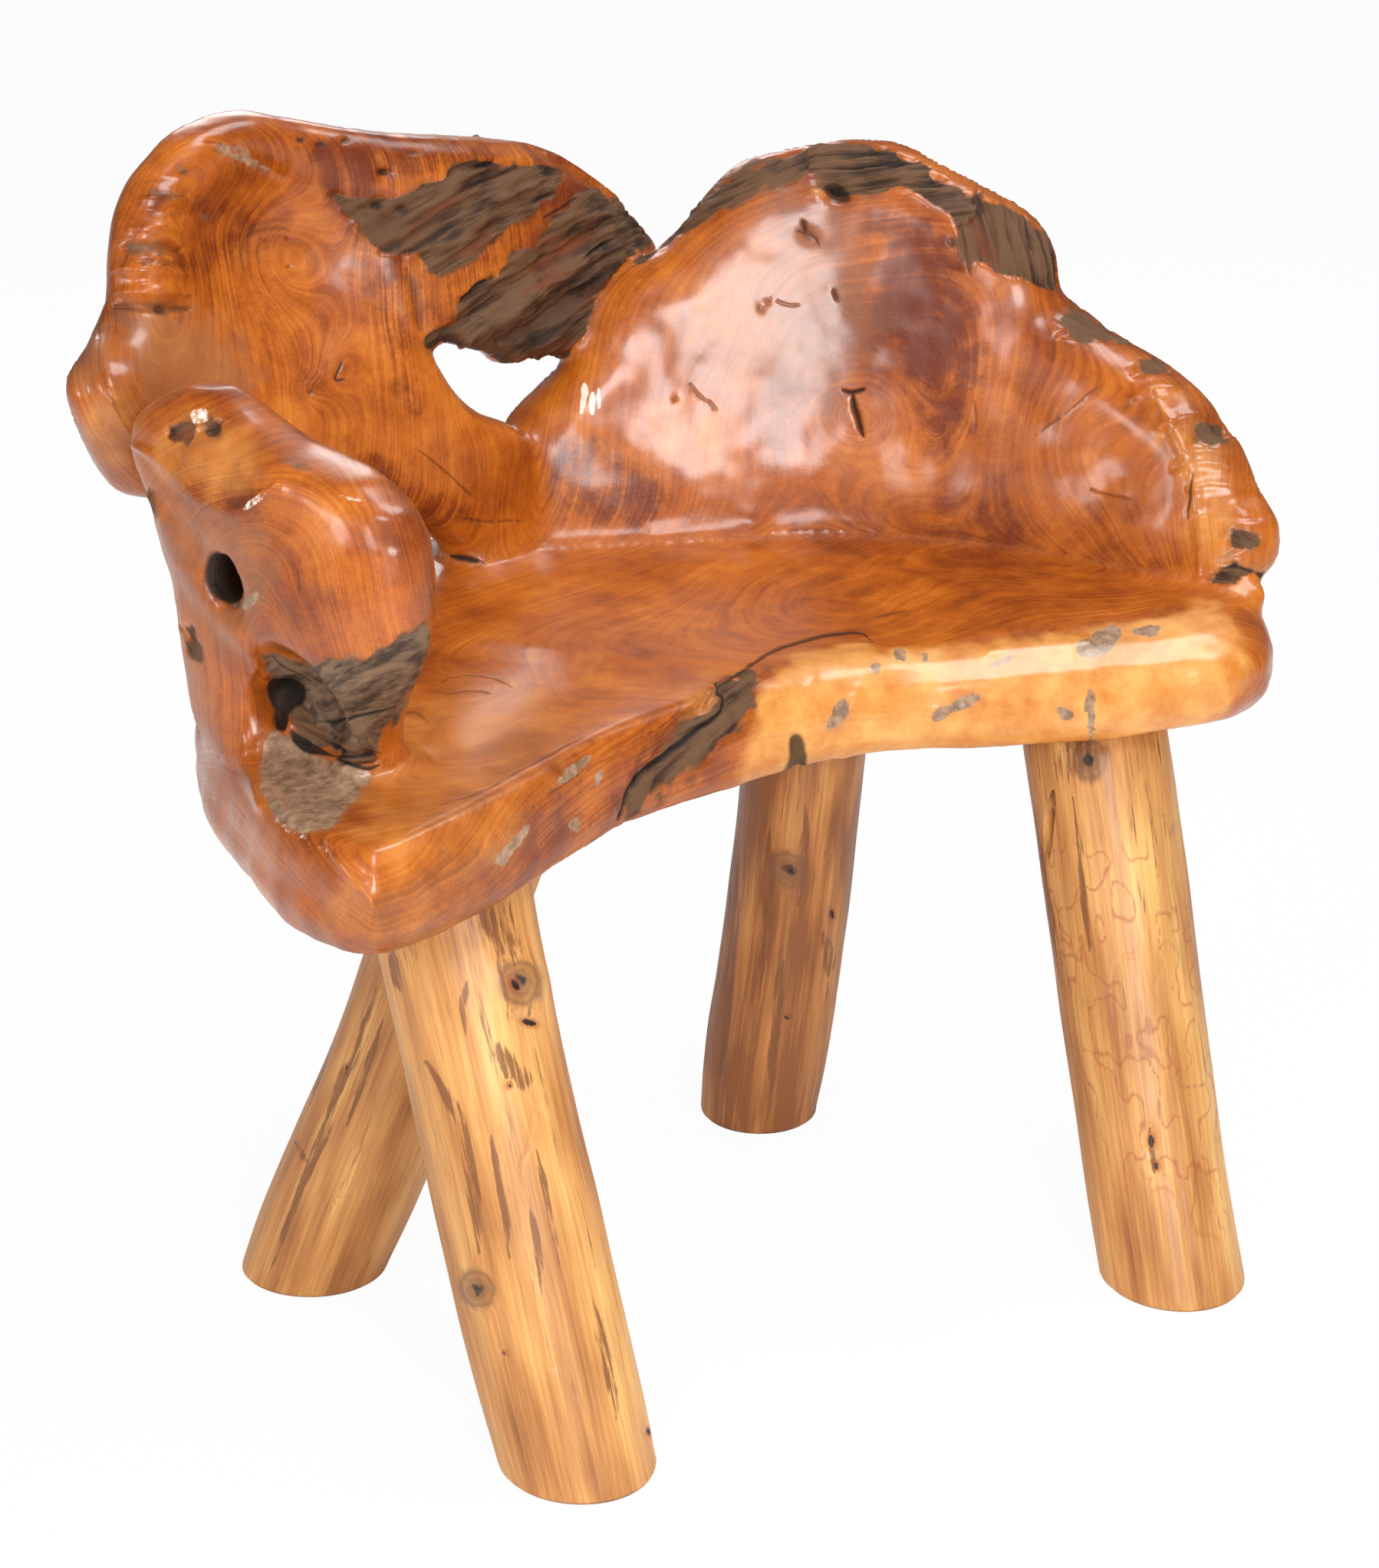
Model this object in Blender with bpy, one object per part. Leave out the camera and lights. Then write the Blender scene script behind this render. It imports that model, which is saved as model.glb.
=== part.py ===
"""A root chair: a carved slab seat, a back, a wing and an arm of root wood, on four log legs.

Metres, +Z up. The origin is on the floor under the middle of the chair, and the chair faces -Y.
The seat slab carries everything. The back, the wing and the arm each stand on the slab's flat top
on round dowels, and are drawn down by lag screws from under the slab. Each leg ends in a round
tenon in a blind socket, held by one slanted screw.
"""
import math

import bmesh
import bpy
import numpy as np
from mathutils import Matrix, Vector
from mathutils.geometry import delaunay_2d_cdt

# Fits
JOINT_GAP = 0.0003
SEAM_GAP = 0.0008
CUT_OVERRUN = 0.004

# Seat slab
SEAT_WIDTH = 0.825
SEAT_DEPTH = 0.555
SEAT_HEIGHT = 0.440
SEAT_THICKNESS = 0.070
EDGE_ROLL = 0.080
DISH_LENGTH = 0.420
DISH_WIDTH = 0.210
DISH_DEPTH = 0.007
DISH_TURN = math.radians(-36)
DISH_BALL_SHARE = 6
SEAT_POINTS = 72
SEAT_SHIFT_X = -0.029
SEAT_SHIFT_Y = 0.000

# Back: the dome and the right arm, one root
BACK_RISE = 0.267
BACK_FOOT = 0.062
BACK_TOP = 0.046
BACK_COVE = 0.018
BACK_COVE_RISE = 0.030
BACK_LEAN = math.radians(12)
BACK_RIM_SLOPE = 0.016

# Wing: the left part of the back with the root that bridges behind the dome
WING_RISE = 0.352
WING_FOOT = 0.046
WING_TOP = 0.040
WING_LEAN = math.radians(6)
WING_REFERENCE_RISE = 0.200
WING_RIM_SLOPE = 0.006
BURL_HOLLOW = 0.045
BURL_REACH = 0.090

# Arm: the upright root at the left
ARM_RISE = 0.226
ARM_LENGTH = 0.290
ARM_THICKNESS = 0.078
KNOT_HOLE_DIAMETER = 0.032
CAVE_LENGTH = 0.105
CAVE_WIDTH = 0.090
CAVE_RISE = 0.100

# Surface cells of the carved roots, and the rounding of their rims. Each ring of points inside a
# rim has its distance as a share of RIM_ROUND, and how many rim points it has one point for.
CELL_SIZE = 0.019
RIM_CELL_SHARE = 0.62
RIM_ROUND = 0.024
RIM_RING_SHARES = ((0.35, 1), (1.00, 2))
RIM_DEPTH_SHARE = 0.30
TAPER_POWER = 0.7
POINT_TOLERANCE = 0.000001
GRID_ROW_SHARE = 0.87
GRID_CLEAR_SHARE = 0.6
RING_CLEAR_SHARE = 0.95
CURVE_STEPS = 24
PATH_POINTS = 200
CREASE_ANGLE = math.radians(35)

# Legs
LEG_DIAMETERS = {
    "leg_front_left": 0.097,
    "leg_front_right": 0.101,
    "leg_rear_right": 0.092,
    "leg_rear_left": 0.094,
}
LEG_SIDES = 22
TENON_DIAMETER = 0.038
SOCKET_CLEARANCE = 0.0005
TENON_END_SPACE = 0.002

# Leg screws
LEG_SCREW_DIAMETER = 0.005
LEG_SCREW_HEAD_DIAMETER = 0.010
LEG_SCREW_HEAD_DEPTH = 0.004
LEG_SCREW_LENGTH = 0.066
LEG_SCREW_HEAD_OFFSET = 0.034
LEG_SCREW_TILT = math.radians(20)
LEG_SCREW_POCKET_LENGTH = 0.030

# Dowels
DOWEL_DIAMETER = 0.014
DOWEL_LENGTH = 0.060
DOWEL_CHAMFER = 0.001
DOWEL_END_SPACE = 0.002

# Lag screws and washers under the slab
LAG_DIAMETER = 0.008
LAG_BITE_LENGTH = 0.036
LAG_HEAD_ACROSS = 0.013
LAG_HEAD_HEIGHT = 0.0055
LAG_POINT_LENGTH = 0.006
WASHER_DIAMETER = 0.020
WASHER_THICKNESS = 0.0016
RECESS_DIAMETER = 0.025
RECESS_DEPTH = 0.012
BORE_CLEARANCE = 0.0004

ROUND_SIDES = 14
WASHER_SIDES = 20
HEAD_SIDES = 6

SEAT_UNDERSIDE = SEAT_HEIGHT - SEAT_THICKNESS
STAND_HEIGHT = SEAT_HEIGHT + JOINT_GAP
# The tenons end under the dowels, wherever on the plan they stand.
DOWEL_SOCKET_DEPTH = DOWEL_LENGTH / 2 + DOWEL_END_SPACE
TENON_LENGTH = SEAT_THICKNESS - DOWEL_SOCKET_DEPTH - TENON_END_SPACE

# The slab's outline from above, anticlockwise from the front left tip. Shares of SEAT_WIDTH and
# SEAT_DEPTH from the seat's middle, then how far the top edge and the lower edge roll in, as
# shares of EDGE_ROLL.
SEAT_OUTLINE_SHARES = (
    (-0.456, -0.440, 0.25, 0.26), (-0.364, -0.405, 0.22, 0.20), (-0.255, -0.324, 0.15, 0.20),
    (-0.152, -0.256, 0.12, 0.22), (-0.036, -0.231, 0.28, 0.25), (0.073, -0.234, 0.56, 0.31),
    (0.206, -0.297, 0.94, 0.22), (0.327, -0.360, 1.00, 0.22), (0.418, -0.387, 0.88, 0.30),
    (0.479, -0.333, 0.56, 0.38), (0.514, -0.216, 0.16, 0.50), (0.521, -0.054, 0.10, 0.38),
    (0.503, 0.108, 0.10, 0.31), (0.436, 0.252, 0.10, 0.31), (0.352, 0.378, 0.10, 0.31),
    (0.242, 0.477, 0.10, 0.31), (0.121, 0.535, 0.10, 0.31), (0.012, 0.553, 0.10, 0.31),
    (-0.079, 0.520, 0.10, 0.25), (-0.106, 0.410, 0.12, 0.25), (-0.182, 0.297, 0.19, 0.25),
    (-0.291, 0.252, 0.19, 0.25), (-0.385, 0.180, 0.17, 0.31), (-0.432, 0.054, 0.12, 0.34),
    (-0.454, -0.126, 0.12, 0.18), (-0.480, -0.308, 0.17, 0.10),
)
# How the slab's edge rolls: height as a share of SEAT_THICKNESS, then shares of the lower and
# the upper roll at that height.
SEAT_EDGE_SHARES = (
    (0.00, 1.00, 0.00), (0.10, 0.55, 0.00), (0.30, 0.16, 0.00), (0.52, 0.00, 0.00),
    (0.72, 0.00, 0.14), (0.88, 0.00, 0.42), (0.97, 0.00, 0.74), (1.00, 0.00, 1.00),
)
DISH_CENTRE_SHARES = (0.085, 0.030)

# The foot of the back on the seat, from the seam with the wing round to the right front, as
# shares of SEAT_WIDTH and SEAT_DEPTH.
BACK_PATH_SHARES = (
    (0.004, 0.400), (0.068, 0.360), (0.150, 0.310), (0.234, 0.248), (0.293, 0.189),
    (0.342, 0.110), (0.388, 0.027), (0.422, -0.072), (0.444, -0.150), (0.457, -0.195),
    (0.456, -0.240),
)
# The back's outline on its unrolled face: shares of the path's length and of BACK_RISE.
BACK_OUTLINE_SHARES = (
    (0.000, 0.100), (0.004, 0.210), (0.012, 0.297), (0.060, 0.380), (0.087, 0.422),
    (0.123, 0.502), (0.163, 0.634), (0.210, 0.708), (0.250, 0.748), (0.293, 0.839),
    (0.340, 0.935), (0.380, 0.962), (0.420, 0.985), (0.463, 1.000), (0.500, 0.997),
    (0.553, 0.932), (0.633, 0.866), (0.670, 0.813), (0.692, 0.729), (0.700, 0.627),
    (0.730, 0.579), (0.770, 0.526), (0.818, 0.491), (0.857, 0.447), (0.910, 0.377),
    (0.938, 0.326), (0.950, 0.270), (0.957, 0.210), (0.972, 0.165), (0.990, 0.115),
    (1.000, 0.050),
)
# Foot thickness along the path, shares of BACK_FOOT.
BACK_FOOT_SHARES = (0.80, 1.05, 1.20, 1.25, 1.25, 1.25, 1.20, 1.05, 1.00, 0.95, 0.95)
# Top thickness along the path, shares of BACK_TOP.
BACK_TOP_SHARES = (0.80, 0.90, 1.00, 1.05, 1.10, 1.10, 1.20, 1.25, 1.25, 1.20, 1.15)

# The wing's plan at its middle height, from the curled left lobe to the end behind the dome.
WING_PATH_SHARES = (
    (-0.440, 0.170), (-0.400, 0.245), (-0.335, 0.320), (-0.240, 0.368), (-0.120, 0.388),
    (0.000, 0.418), (0.105, 0.466), (0.200, 0.508), (0.268, 0.530),
)
# The wing's outline: shares of the path's length and of WING_RISE, from the foot's right end
# round the bridging root, the rim and the left lobe, and back to the foot's left end.
WING_OUTLINE_SHARES = (
    (0.688, 0.100), (0.686, 0.235), (0.657, 0.268), (0.614, 0.303), (0.586, 0.349),
    (0.569, 0.395), (0.555, 0.450), (0.568, 0.466), (0.590, 0.464), (0.628, 0.437),
    (0.657, 0.418), (0.679, 0.383), (0.711, 0.391), (0.746, 0.372), (0.821, 0.387),
    (0.880, 0.398), (0.930, 0.425), (0.952, 0.470), (0.948, 0.560), (0.928, 0.620),
    (0.895, 0.680), (0.853, 0.740), (0.800, 0.794), (0.713, 0.832), (0.627, 0.859),
    (0.537, 0.882), (0.487, 0.901), (0.407, 0.935), (0.347, 0.962), (0.277, 0.943),
    (0.243, 0.908), (0.210, 0.870), (0.187, 0.813), (0.172, 0.740), (0.160, 0.665),
    (0.128, 0.622), (0.080, 0.600), (0.058, 0.538), (0.080, 0.440), (0.125, 0.330),
    (0.167, 0.325), (0.250, 0.315), (0.340, 0.265), (0.425, 0.200), (0.500, 0.125),
    (0.545, 0.070),
)
WING_FOOT_ENDS_SHARES = (0.575, 0.688)
# Foot and top thickness along the wing, shares of WING_FOOT and WING_TOP.
WING_FOOT_SHARES = (1.60, 1.30, 1.05, 1.00, 1.00, 1.00, 1.05, 1.10, 1.10)
WING_TOP_SHARES = (1.10, 1.00, 1.00, 1.00, 1.00, 1.10, 1.30, 1.50, 1.50)
BURL_SHARES = (0.380, 0.690)

# The arm's plan line from rear to front, and its slices: height as a share of ARM_RISE, rear and
# front ends as shares of ARM_LENGTH, thickness as a share of ARM_THICKNESS, and how far it
# stands inward as a share of ARM_THICKNESS.
ARM_REAR_SHARES = (-0.427, 0.080)
ARM_HEADING = math.radians(-73)
ARM_SLICE_SHARES = (
    (0.000, 0.060, 0.600, 1.100, 0.060), (0.100, 0.045, 0.605, 1.080, 0.050),
    (0.200, 0.030, 0.635, 1.020, 0.030), (0.300, 0.020, 0.680, 0.980, 0.000),
    (0.380, 0.010, 0.710, 0.980, 0.000), (0.500, -0.015, 0.735, 1.020, 0.000),
    (0.600, -0.040, 0.740, 1.000, 0.000), (0.700, -0.065, 0.730, 0.960, 0.000),
    (0.780, -0.090, 0.690, 0.900, 0.000), (0.840, -0.090, 0.600, 0.840, 0.000),
    (0.880, -0.075, 0.410, 0.760, 0.000), (0.920, -0.040, 0.300, 0.660, 0.000),
    (0.965, 0.020, 0.240, 0.500, 0.000), (1.000, 0.080, 0.180, 0.260, 0.000),
)
ARM_SIDES = 28
ARM_ROUNDING_POWER = 0.75
KNOT_HOLE_SHARES = (0.195, 0.462)
CAVE_SHARES = (0.430, 0.150, -0.550)

# Legs: foot centre and top centre as shares of SEAT_WIDTH and SEAT_DEPTH, then the side of the
# leg that its screw enters, as a turn from +X.
LEG_TABLE_SHARES = {
    "leg_front_left": ((-0.305, -0.481), (-0.312, -0.220)),
    "leg_front_right": ((0.281, -0.521), (0.337, -0.222)),
    "leg_rear_right": ((0.173, 0.169), (0.179, 0.068)),
    "leg_rear_left": ((-0.321, 0.115), (-0.206, -0.072)),
}
LEG_SCREW_SIDES = {
    "leg_front_left": math.radians(-30),
    "leg_front_right": math.radians(-165),
    "leg_rear_right": math.radians(60),
    "leg_rear_left": math.radians(150),
}
# Swell of each log from the floor up, as shares of its radius.
LEG_SWELL_SHARES = {
    "leg_front_left": (1.02, 1.07, 1.09, 1.08, 1.08, 1.06, 1.06, 1.07, 1.08, 1.10),
    "leg_front_right": (0.99, 0.99, 0.98, 0.99, 1.01, 1.00, 1.01, 1.00, 1.01, 1.01),
    "leg_rear_right": (0.95, 1.02, 1.03, 1.00, 0.99, 0.99, 0.98, 0.98, 0.99, 1.02),
    "leg_rear_left": (1.02, 1.07, 1.07, 1.04, 1.01, 1.00, 1.02, 1.00, 1.00, 1.00),
}

# Dowels and lag screws: along the back's and the wing's feet as shares of their paths, along the
# arm as shares of ARM_LENGTH and inward as shares of ARM_THICKNESS.
BACK_DOWEL_SHARES = (0.10, 0.38, 0.62, 0.84)
WING_DOWEL_SHARES = (0.616,)
ARM_DOWEL_SHARES = ((0.13, 0.05), (0.50, 0.32))
BACK_LAG_SHARES = (0.24, 0.50)
WING_LAG_SHARES = (0.590,)
ARM_LAG_SHARES = ((0.29, 0.26),)

TEAK = ((0.50, 0.15, 0.04), 0.25, 0.0)
TEAK_DARK = ((0.36, 0.10, 0.03), 0.28, 0.0)
LOG = ((0.62, 0.36, 0.14), 0.55, 0.0)
PEG = ((0.60, 0.42, 0.22), 0.60, 0.0)
STEEL = ((0.45, 0.45, 0.47), 0.35, 1.0)


def clear_scene():
    for item in list(bpy.data.objects):
        bpy.data.objects.remove(item, do_unlink=True)


def material(name, finish):
    colour, roughness, metallic = finish
    made = bpy.data.materials.new(name)
    made.use_nodes = True
    shader = made.node_tree.nodes["Principled BSDF"]
    shader.inputs["Base Color"].default_value = (*colour, 1.0)
    shader.inputs["Roughness"].default_value = roughness
    shader.inputs["Metallic"].default_value = metallic
    return made


def make_object(name, mesh, finish):
    item = bpy.data.objects.new(name, mesh)
    bpy.context.scene.collection.objects.link(item)
    mesh.shade_smooth()
    mesh.set_sharp_from_angle(angle=CREASE_ANGLE)
    if finish is not None:
        mesh.materials.append(material(name + "_finish", finish))
    return item


def mesh_from(name, points, faces):
    """A mesh of the given points and faces, with its faces turned outwards."""
    mesh = bpy.data.meshes.new(name)
    mesh.from_pydata([tuple(point) for point in points], [], faces)
    shape = bmesh.new()
    shape.from_mesh(mesh)
    bmesh.ops.recalc_face_normals(shape, faces=shape.faces)
    shape.to_mesh(mesh)
    shape.free()
    return mesh


def loft(name, rings):
    """Closed skin through rings of equally many points, with a flat cap at each end."""
    sides = len(rings[0])
    points = np.vstack(rings)
    faces = []
    for level in range(len(rings) - 1):
        low = level * sides
        high = low + sides
        for side in range(sides):
            after = (side + 1) % sides
            faces.append((low + side, low + after, high + after, high + side))
    faces.append(tuple(range(sides))[::-1])
    faces.append(tuple(range(len(points) - sides, len(points))))
    return mesh_from(name, points, faces)


def cut(item, cutter):
    """Takes the cutter's shape out of the item, and keeps the cutter as a hidden guide."""
    cutter.hide_render = True
    cutter.display_type = "WIRE"
    cutter.hide_viewport = True
    step = item.modifiers.new("cut_" + cutter.name, "BOOLEAN")
    step.operation = "DIFFERENCE"
    step.solver = "EXACT"
    step.object = cutter


def smooth_curve(points, count, closed=False):
    """Evenly spaced points along a Catmull-Rom curve through the given points."""
    points = np.asarray(points, float)
    if closed:
        padded = np.vstack([points[-1:], points, points[:2]])
        spans = len(points)
    else:
        padded = np.vstack([2 * points[0] - points[1], points, 2 * points[-1] - points[-2]])
        spans = len(points) - 1
    step = np.linspace(0, 1, CURVE_STEPS, endpoint=False)[:, None]
    runs = []
    for span in range(spans):
        a, b, c, d = padded[span:span + 4]
        runs.append(0.5 * (2 * b + (c - a) * step + (2 * a - 5 * b + 4 * c - d) * step**2
                           + (3 * b - a - 3 * c + d) * step**3))
    fine = np.vstack(runs + [points[:1] if closed else points[-1:]])
    lengths = np.linalg.norm(np.diff(fine[:, :2], axis=0), axis=1)
    run = np.concatenate([[0], np.cumsum(lengths)])
    stops = np.linspace(0, run[-1], count + 1 if closed else count)
    if closed:
        stops = stops[:-1]
    return np.column_stack([np.interp(stops, run, column) for column in fine.T])


def plan(shares):
    """Places on the plan from shares of the seat's width and depth, about the seat's middle."""
    places = np.asarray(shares, float)[..., :2] * (SEAT_WIDTH, SEAT_DEPTH)
    return places + (SEAT_SHIFT_X, SEAT_SHIFT_Y)


def left_normals(points, closed=False):
    if closed:
        along = np.roll(points, -1, axis=0) - np.roll(points, 1, axis=0)
    else:
        along = np.gradient(points, axis=0)
    along = along / np.linalg.norm(along, axis=1)[:, None]
    return np.column_stack([-along[:, 1], along[:, 0]])


class RootWall:
    """A curved wall of root wood on an unrolled face: s runs along its foot's path, h up."""

    def __init__(self, path, rise, foot, top, lean, rim_slope,
                 reference_rise=0, cove=None, hollow=None):
        self.path = smooth_curve(path, PATH_POINTS)
        steps = np.linalg.norm(np.diff(self.path, axis=0), axis=1)
        self.run = np.concatenate([[0], np.cumsum(steps)])
        self.length = self.run[-1]
        self.normals = left_normals(self.path)
        self.rise = rise
        self.foot = np.atleast_1d(foot)
        self.top = np.atleast_1d(top)
        self.lean = lean
        self.rim_slope = rim_slope
        self.reference_rise = reference_rise
        self.cove = cove
        self.hollow = hollow

    def thickness(self, s, h):
        foot = np.interp(s, np.linspace(0, self.length, len(self.foot)), self.foot)
        top = np.interp(s, np.linspace(0, self.length, len(self.top)), self.top)
        up = np.clip(h / self.rise, 0, 1)
        return foot + (top - foot) * up**TAPER_POWER

    def outward(self, s, h):
        """How far the inner face stands outside the path, at a height."""
        out = math.tan(self.lean) * (h - self.reference_rise)
        if self.cove:
            depth, rise = self.cove
            out = out + depth * (1 - np.exp(-h / rise))
        if self.hollow:
            depth, (along_share, up_share), reach = self.hollow
            near = (s - along_share * self.length)**2 + (h - up_share * self.rise)**2
            out = out + depth * np.exp(-near / reach**2)
        return out

    def point(self, s, h, depth):
        """World points, with depth 0 on the inner face and 1 on the outer face."""
        s = np.asarray(s, float)
        h = np.asarray(h, float)
        offset = self.outward(s, h) + depth * self.thickness(s, h)
        xy = np.column_stack([np.interp(s, self.run, self.path[:, i]) for i in (0, 1)])
        normal = np.column_stack([np.interp(s, self.run, self.normals[:, i]) for i in (0, 1)])
        lift = self.rim_slope * depth * np.clip(h / self.rise, 0, 1)
        xy = xy + normal * offset[:, None]
        return np.column_stack([xy, STAND_HEIGHT + h + lift])

    def foot_middle(self, share, height):
        """The middle of the wood that the foot and a height above it have in common."""
        s = share * self.length
        inner = self.outward(s, height)
        outer = self.outward(s, 0.0) + self.thickness(s, 0.0)
        depth = ((inner + outer) / 2 - self.outward(s, 0.0)) / self.thickness(s, 0.0)
        return self.point([s], [0.0], float(depth))[0]

    def mesh(self, name, outline_shares, base_shares):
        """The wall inside its outline, whose base runs straight between two shares."""
        crown = np.asarray(outline_shares) * (self.length, self.rise)
        first = np.array([base_shares[0] * self.length, 0.0])
        last = np.array([base_shares[1] * self.length, 0.0])
        crown = np.vstack([last, crown, first])
        round_it = np.linalg.norm(np.diff(crown, axis=0), axis=1).sum()
        crown = smooth_curve(crown, int(round_it / (RIM_CELL_SHARE * CELL_SIZE)))
        base_count = max(2, int((last[0] - first[0]) / CELL_SIZE))
        base = np.linspace(first, last, base_count + 1)[1:-1]
        edge = np.vstack([crown, base])
        rings = rim_rings(crown, edge)
        inner = inner_grid(edge, CELL_SIZE)
        inner = inner[distance_to(inner, crown) > RIM_ROUND + CELL_SIZE / 2]
        flat = [Vector(point) for point in np.vstack([edge, rings, inner])]
        done = delaunay_2d_cdt(flat, [], [list(range(len(edge)))], 1, POINT_TOLERANCE)
        sheet = np.array([tuple(point) for point in done[0]])
        triangles = [tuple(face) for face in done[2]]
        away = distance_to(sheet, crown)
        rounding = 1 - np.sqrt(1 - (1 - np.clip(away / RIM_ROUND, 0, 1))**2)
        front = self.point(sheet[:, 0], sheet[:, 1], RIM_DEPTH_SHARE * rounding)
        back = self.point(sheet[:, 0], sheet[:, 1], 1 - RIM_DEPTH_SHARE * rounding)
        count = len(sheet)
        faces = list(triangles)
        faces += [tuple(count + corner for corner in face[::-1]) for face in triangles]
        faces += [(a, b, count + b, count + a) for a, b in rim_edges(triangles)]
        return mesh_from(name, np.vstack([front, back]), faces)


def rim_rings(crown, edge):
    """Points in rings at fixed distances inside the rim, so that its rounding runs evenly."""
    loop = np.vstack([edge, edge[:1]])
    inward = left_normals(crown)
    rings = []
    for share, every in RIM_RING_SHARES:
        gap = share * RIM_ROUND
        ring = (crown + inward * gap)[::every]
        clear = distance_to(ring, loop) > RING_CLEAR_SHARE * gap
        rings.append(ring[clear & inside(ring, edge)])
    return np.vstack(rings)


def inner_grid(edge, cell):
    """A triangular grid of points inside a closed outline, clear of its edge."""
    low = edge.min(axis=0)
    high = edge.max(axis=0)
    rows = np.arange(low[1] + cell / 2, high[1], cell * GRID_ROW_SHARE)
    points = []
    for number, row in enumerate(rows):
        columns = np.arange(low[0] + (number % 2) * cell / 2, high[0], cell)
        points += [(column, row) for column in columns]
    points = np.array(points)
    loop = np.vstack([edge, edge[:1]])
    keep = inside(points, edge) & (distance_to(points, loop) > GRID_CLEAR_SHARE * cell)
    return points[keep]


def inside(points, outline):
    """Which points lie inside a closed outline, by counting crossings."""
    found = np.zeros(len(points), bool)
    following = np.roll(outline, -1, axis=0)
    for a, b in zip(outline, following):
        if a[1] == b[1]:
            continue
        crosses = (a[1] > points[:, 1]) != (b[1] > points[:, 1])
        across = a[0] + (b[0] - a[0]) * (points[:, 1] - a[1]) / (b[1] - a[1])
        found ^= crosses & (points[:, 0] < across)
    return found


def distance_to(points, line):
    """Least distance from each point to a run of straight pieces."""
    nearest = np.full(len(points), np.inf)
    for a, b in zip(line[:-1], line[1:]):
        along = b - a
        share = np.clip(((points - a) @ along) / (along @ along), 0, 1)
        gap = np.linalg.norm(points - a - share[:, None] * along, axis=1)
        nearest = np.minimum(nearest, gap)
    return nearest


def rim_edges(triangles):
    """The directed edges that only one triangle uses."""
    edges = {(face[i], face[(i + 1) % 3]) for face in triangles for i in range(3)}
    return [(b, a) for a, b in edges if (b, a) not in edges]


def round_bar(name, start, direction, steps, sides=ROUND_SIDES):
    """A turned bar: steps are distances along its axis with the radius there."""
    turn = Vector((0, 0, 1)).rotation_difference(Vector(direction)).to_matrix().to_4x4()
    place = np.array(Matrix.Translation(Vector(start)) @ turn)
    angle = np.arange(sides) * 2 * math.pi / sides
    rings = []
    for along, radius in steps:
        ring = np.column_stack([radius * np.cos(angle), radius * np.sin(angle),
                                np.full(sides, along), np.ones(sides)])
        rings.append((ring @ place.T)[:, :3])
    return loft(name, rings)


def seat_slab():
    table = np.array(SEAT_OUTLINE_SHARES)
    table = np.column_stack([plan(table), table[:, 2:] * EDGE_ROLL])
    outline = smooth_curve(table, SEAT_POINTS, closed=True)
    inward = left_normals(outline[:, :2], closed=True)
    rings = []
    for height, lower, upper in SEAT_EDGE_SHARES:
        inset = lower * outline[:, 3] + upper * outline[:, 2]
        xy = outline[:, :2] + inward * inset[:, None]
        level = np.full(SEAT_POINTS, SEAT_UNDERSIDE + height * SEAT_THICKNESS)
        rings.append(np.column_stack([xy, level]))
    item = make_object("seat_slab", loft("seat_slab", rings), TEAK)
    cut(item, dish_cutter())
    return item


def dish_cutter():
    """A flattened ball that takes a shallow dish out of the sitting place."""
    shape = bmesh.new()
    bmesh.ops.create_uvsphere(shape, u_segments=36, v_segments=24, radius=1)
    half_height = DISH_DEPTH * DISH_BALL_SHARE
    reach = math.sqrt(1 - (1 - DISH_DEPTH / half_height)**2)
    centre = plan(DISH_CENTRE_SHARES)
    sized = Matrix.Diagonal((DISH_LENGTH / 2 / reach, DISH_WIDTH / 2 / reach, half_height, 1))
    place = Matrix.Translation((centre[0], centre[1], SEAT_HEIGHT + half_height - DISH_DEPTH))
    bmesh.ops.transform(shape, matrix=place @ Matrix.Rotation(DISH_TURN, 4, "Z") @ sized,
                        verts=shape.verts)
    mesh = bpy.data.meshes.new("dish_cutter")
    shape.to_mesh(mesh)
    shape.free()
    return make_object("dish_cutter", mesh, None)


def back_wall():
    return RootWall(plan(BACK_PATH_SHARES), BACK_RISE,
                    BACK_FOOT * np.array(BACK_FOOT_SHARES), BACK_TOP * np.array(BACK_TOP_SHARES),
                    BACK_LEAN, BACK_RIM_SLOPE, cove=(BACK_COVE, BACK_COVE_RISE))


def wing_wall():
    return RootWall(plan(WING_PATH_SHARES), WING_RISE,
                    WING_FOOT * np.array(WING_FOOT_SHARES), WING_TOP * np.array(WING_TOP_SHARES),
                    WING_LEAN, WING_RIM_SLOPE, reference_rise=WING_REFERENCE_RISE,
                    hollow=(BURL_HOLLOW, BURL_SHARES, BURL_REACH))


def back_root(wall):
    mesh = wall.mesh("back_root", BACK_OUTLINE_SHARES[::-1], (0.0, 1.0))
    return make_object("back_root", mesh, TEAK)


def grown_copy(item, name, distance):
    """A copy of a piece with every point moved outwards, for cutting what meets it."""
    shape = bmesh.new()
    shape.from_mesh(item.data)
    shape.normal_update()
    moves = [(vert, vert.normal.copy()) for vert in shape.verts]
    for vert, normal in moves:
        vert.co += normal * distance
    mesh = bpy.data.meshes.new(name)
    shape.to_mesh(mesh)
    shape.free()
    return make_object(name, mesh, None)


def wing_root(wall, back):
    mesh = wall.mesh("wing_root", WING_OUTLINE_SHARES, WING_FOOT_ENDS_SHARES)
    item = make_object("wing_root", mesh, TEAK_DARK)
    cut(item, grown_copy(back, "back_seam_cutter", SEAM_GAP))
    return item


def arm_place(share, height_share, inward_share):
    """A point on the arm's middle plane, moved inward by a share of its thickness."""
    rear = plan(ARM_REAR_SHARES)
    along = np.array([math.cos(ARM_HEADING), math.sin(ARM_HEADING)])
    inward = np.array([-along[1], along[0]])
    xy = rear + along * share * ARM_LENGTH + inward * inward_share * ARM_THICKNESS
    return np.array([xy[0], xy[1], STAND_HEIGHT + height_share * ARM_RISE])


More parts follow.
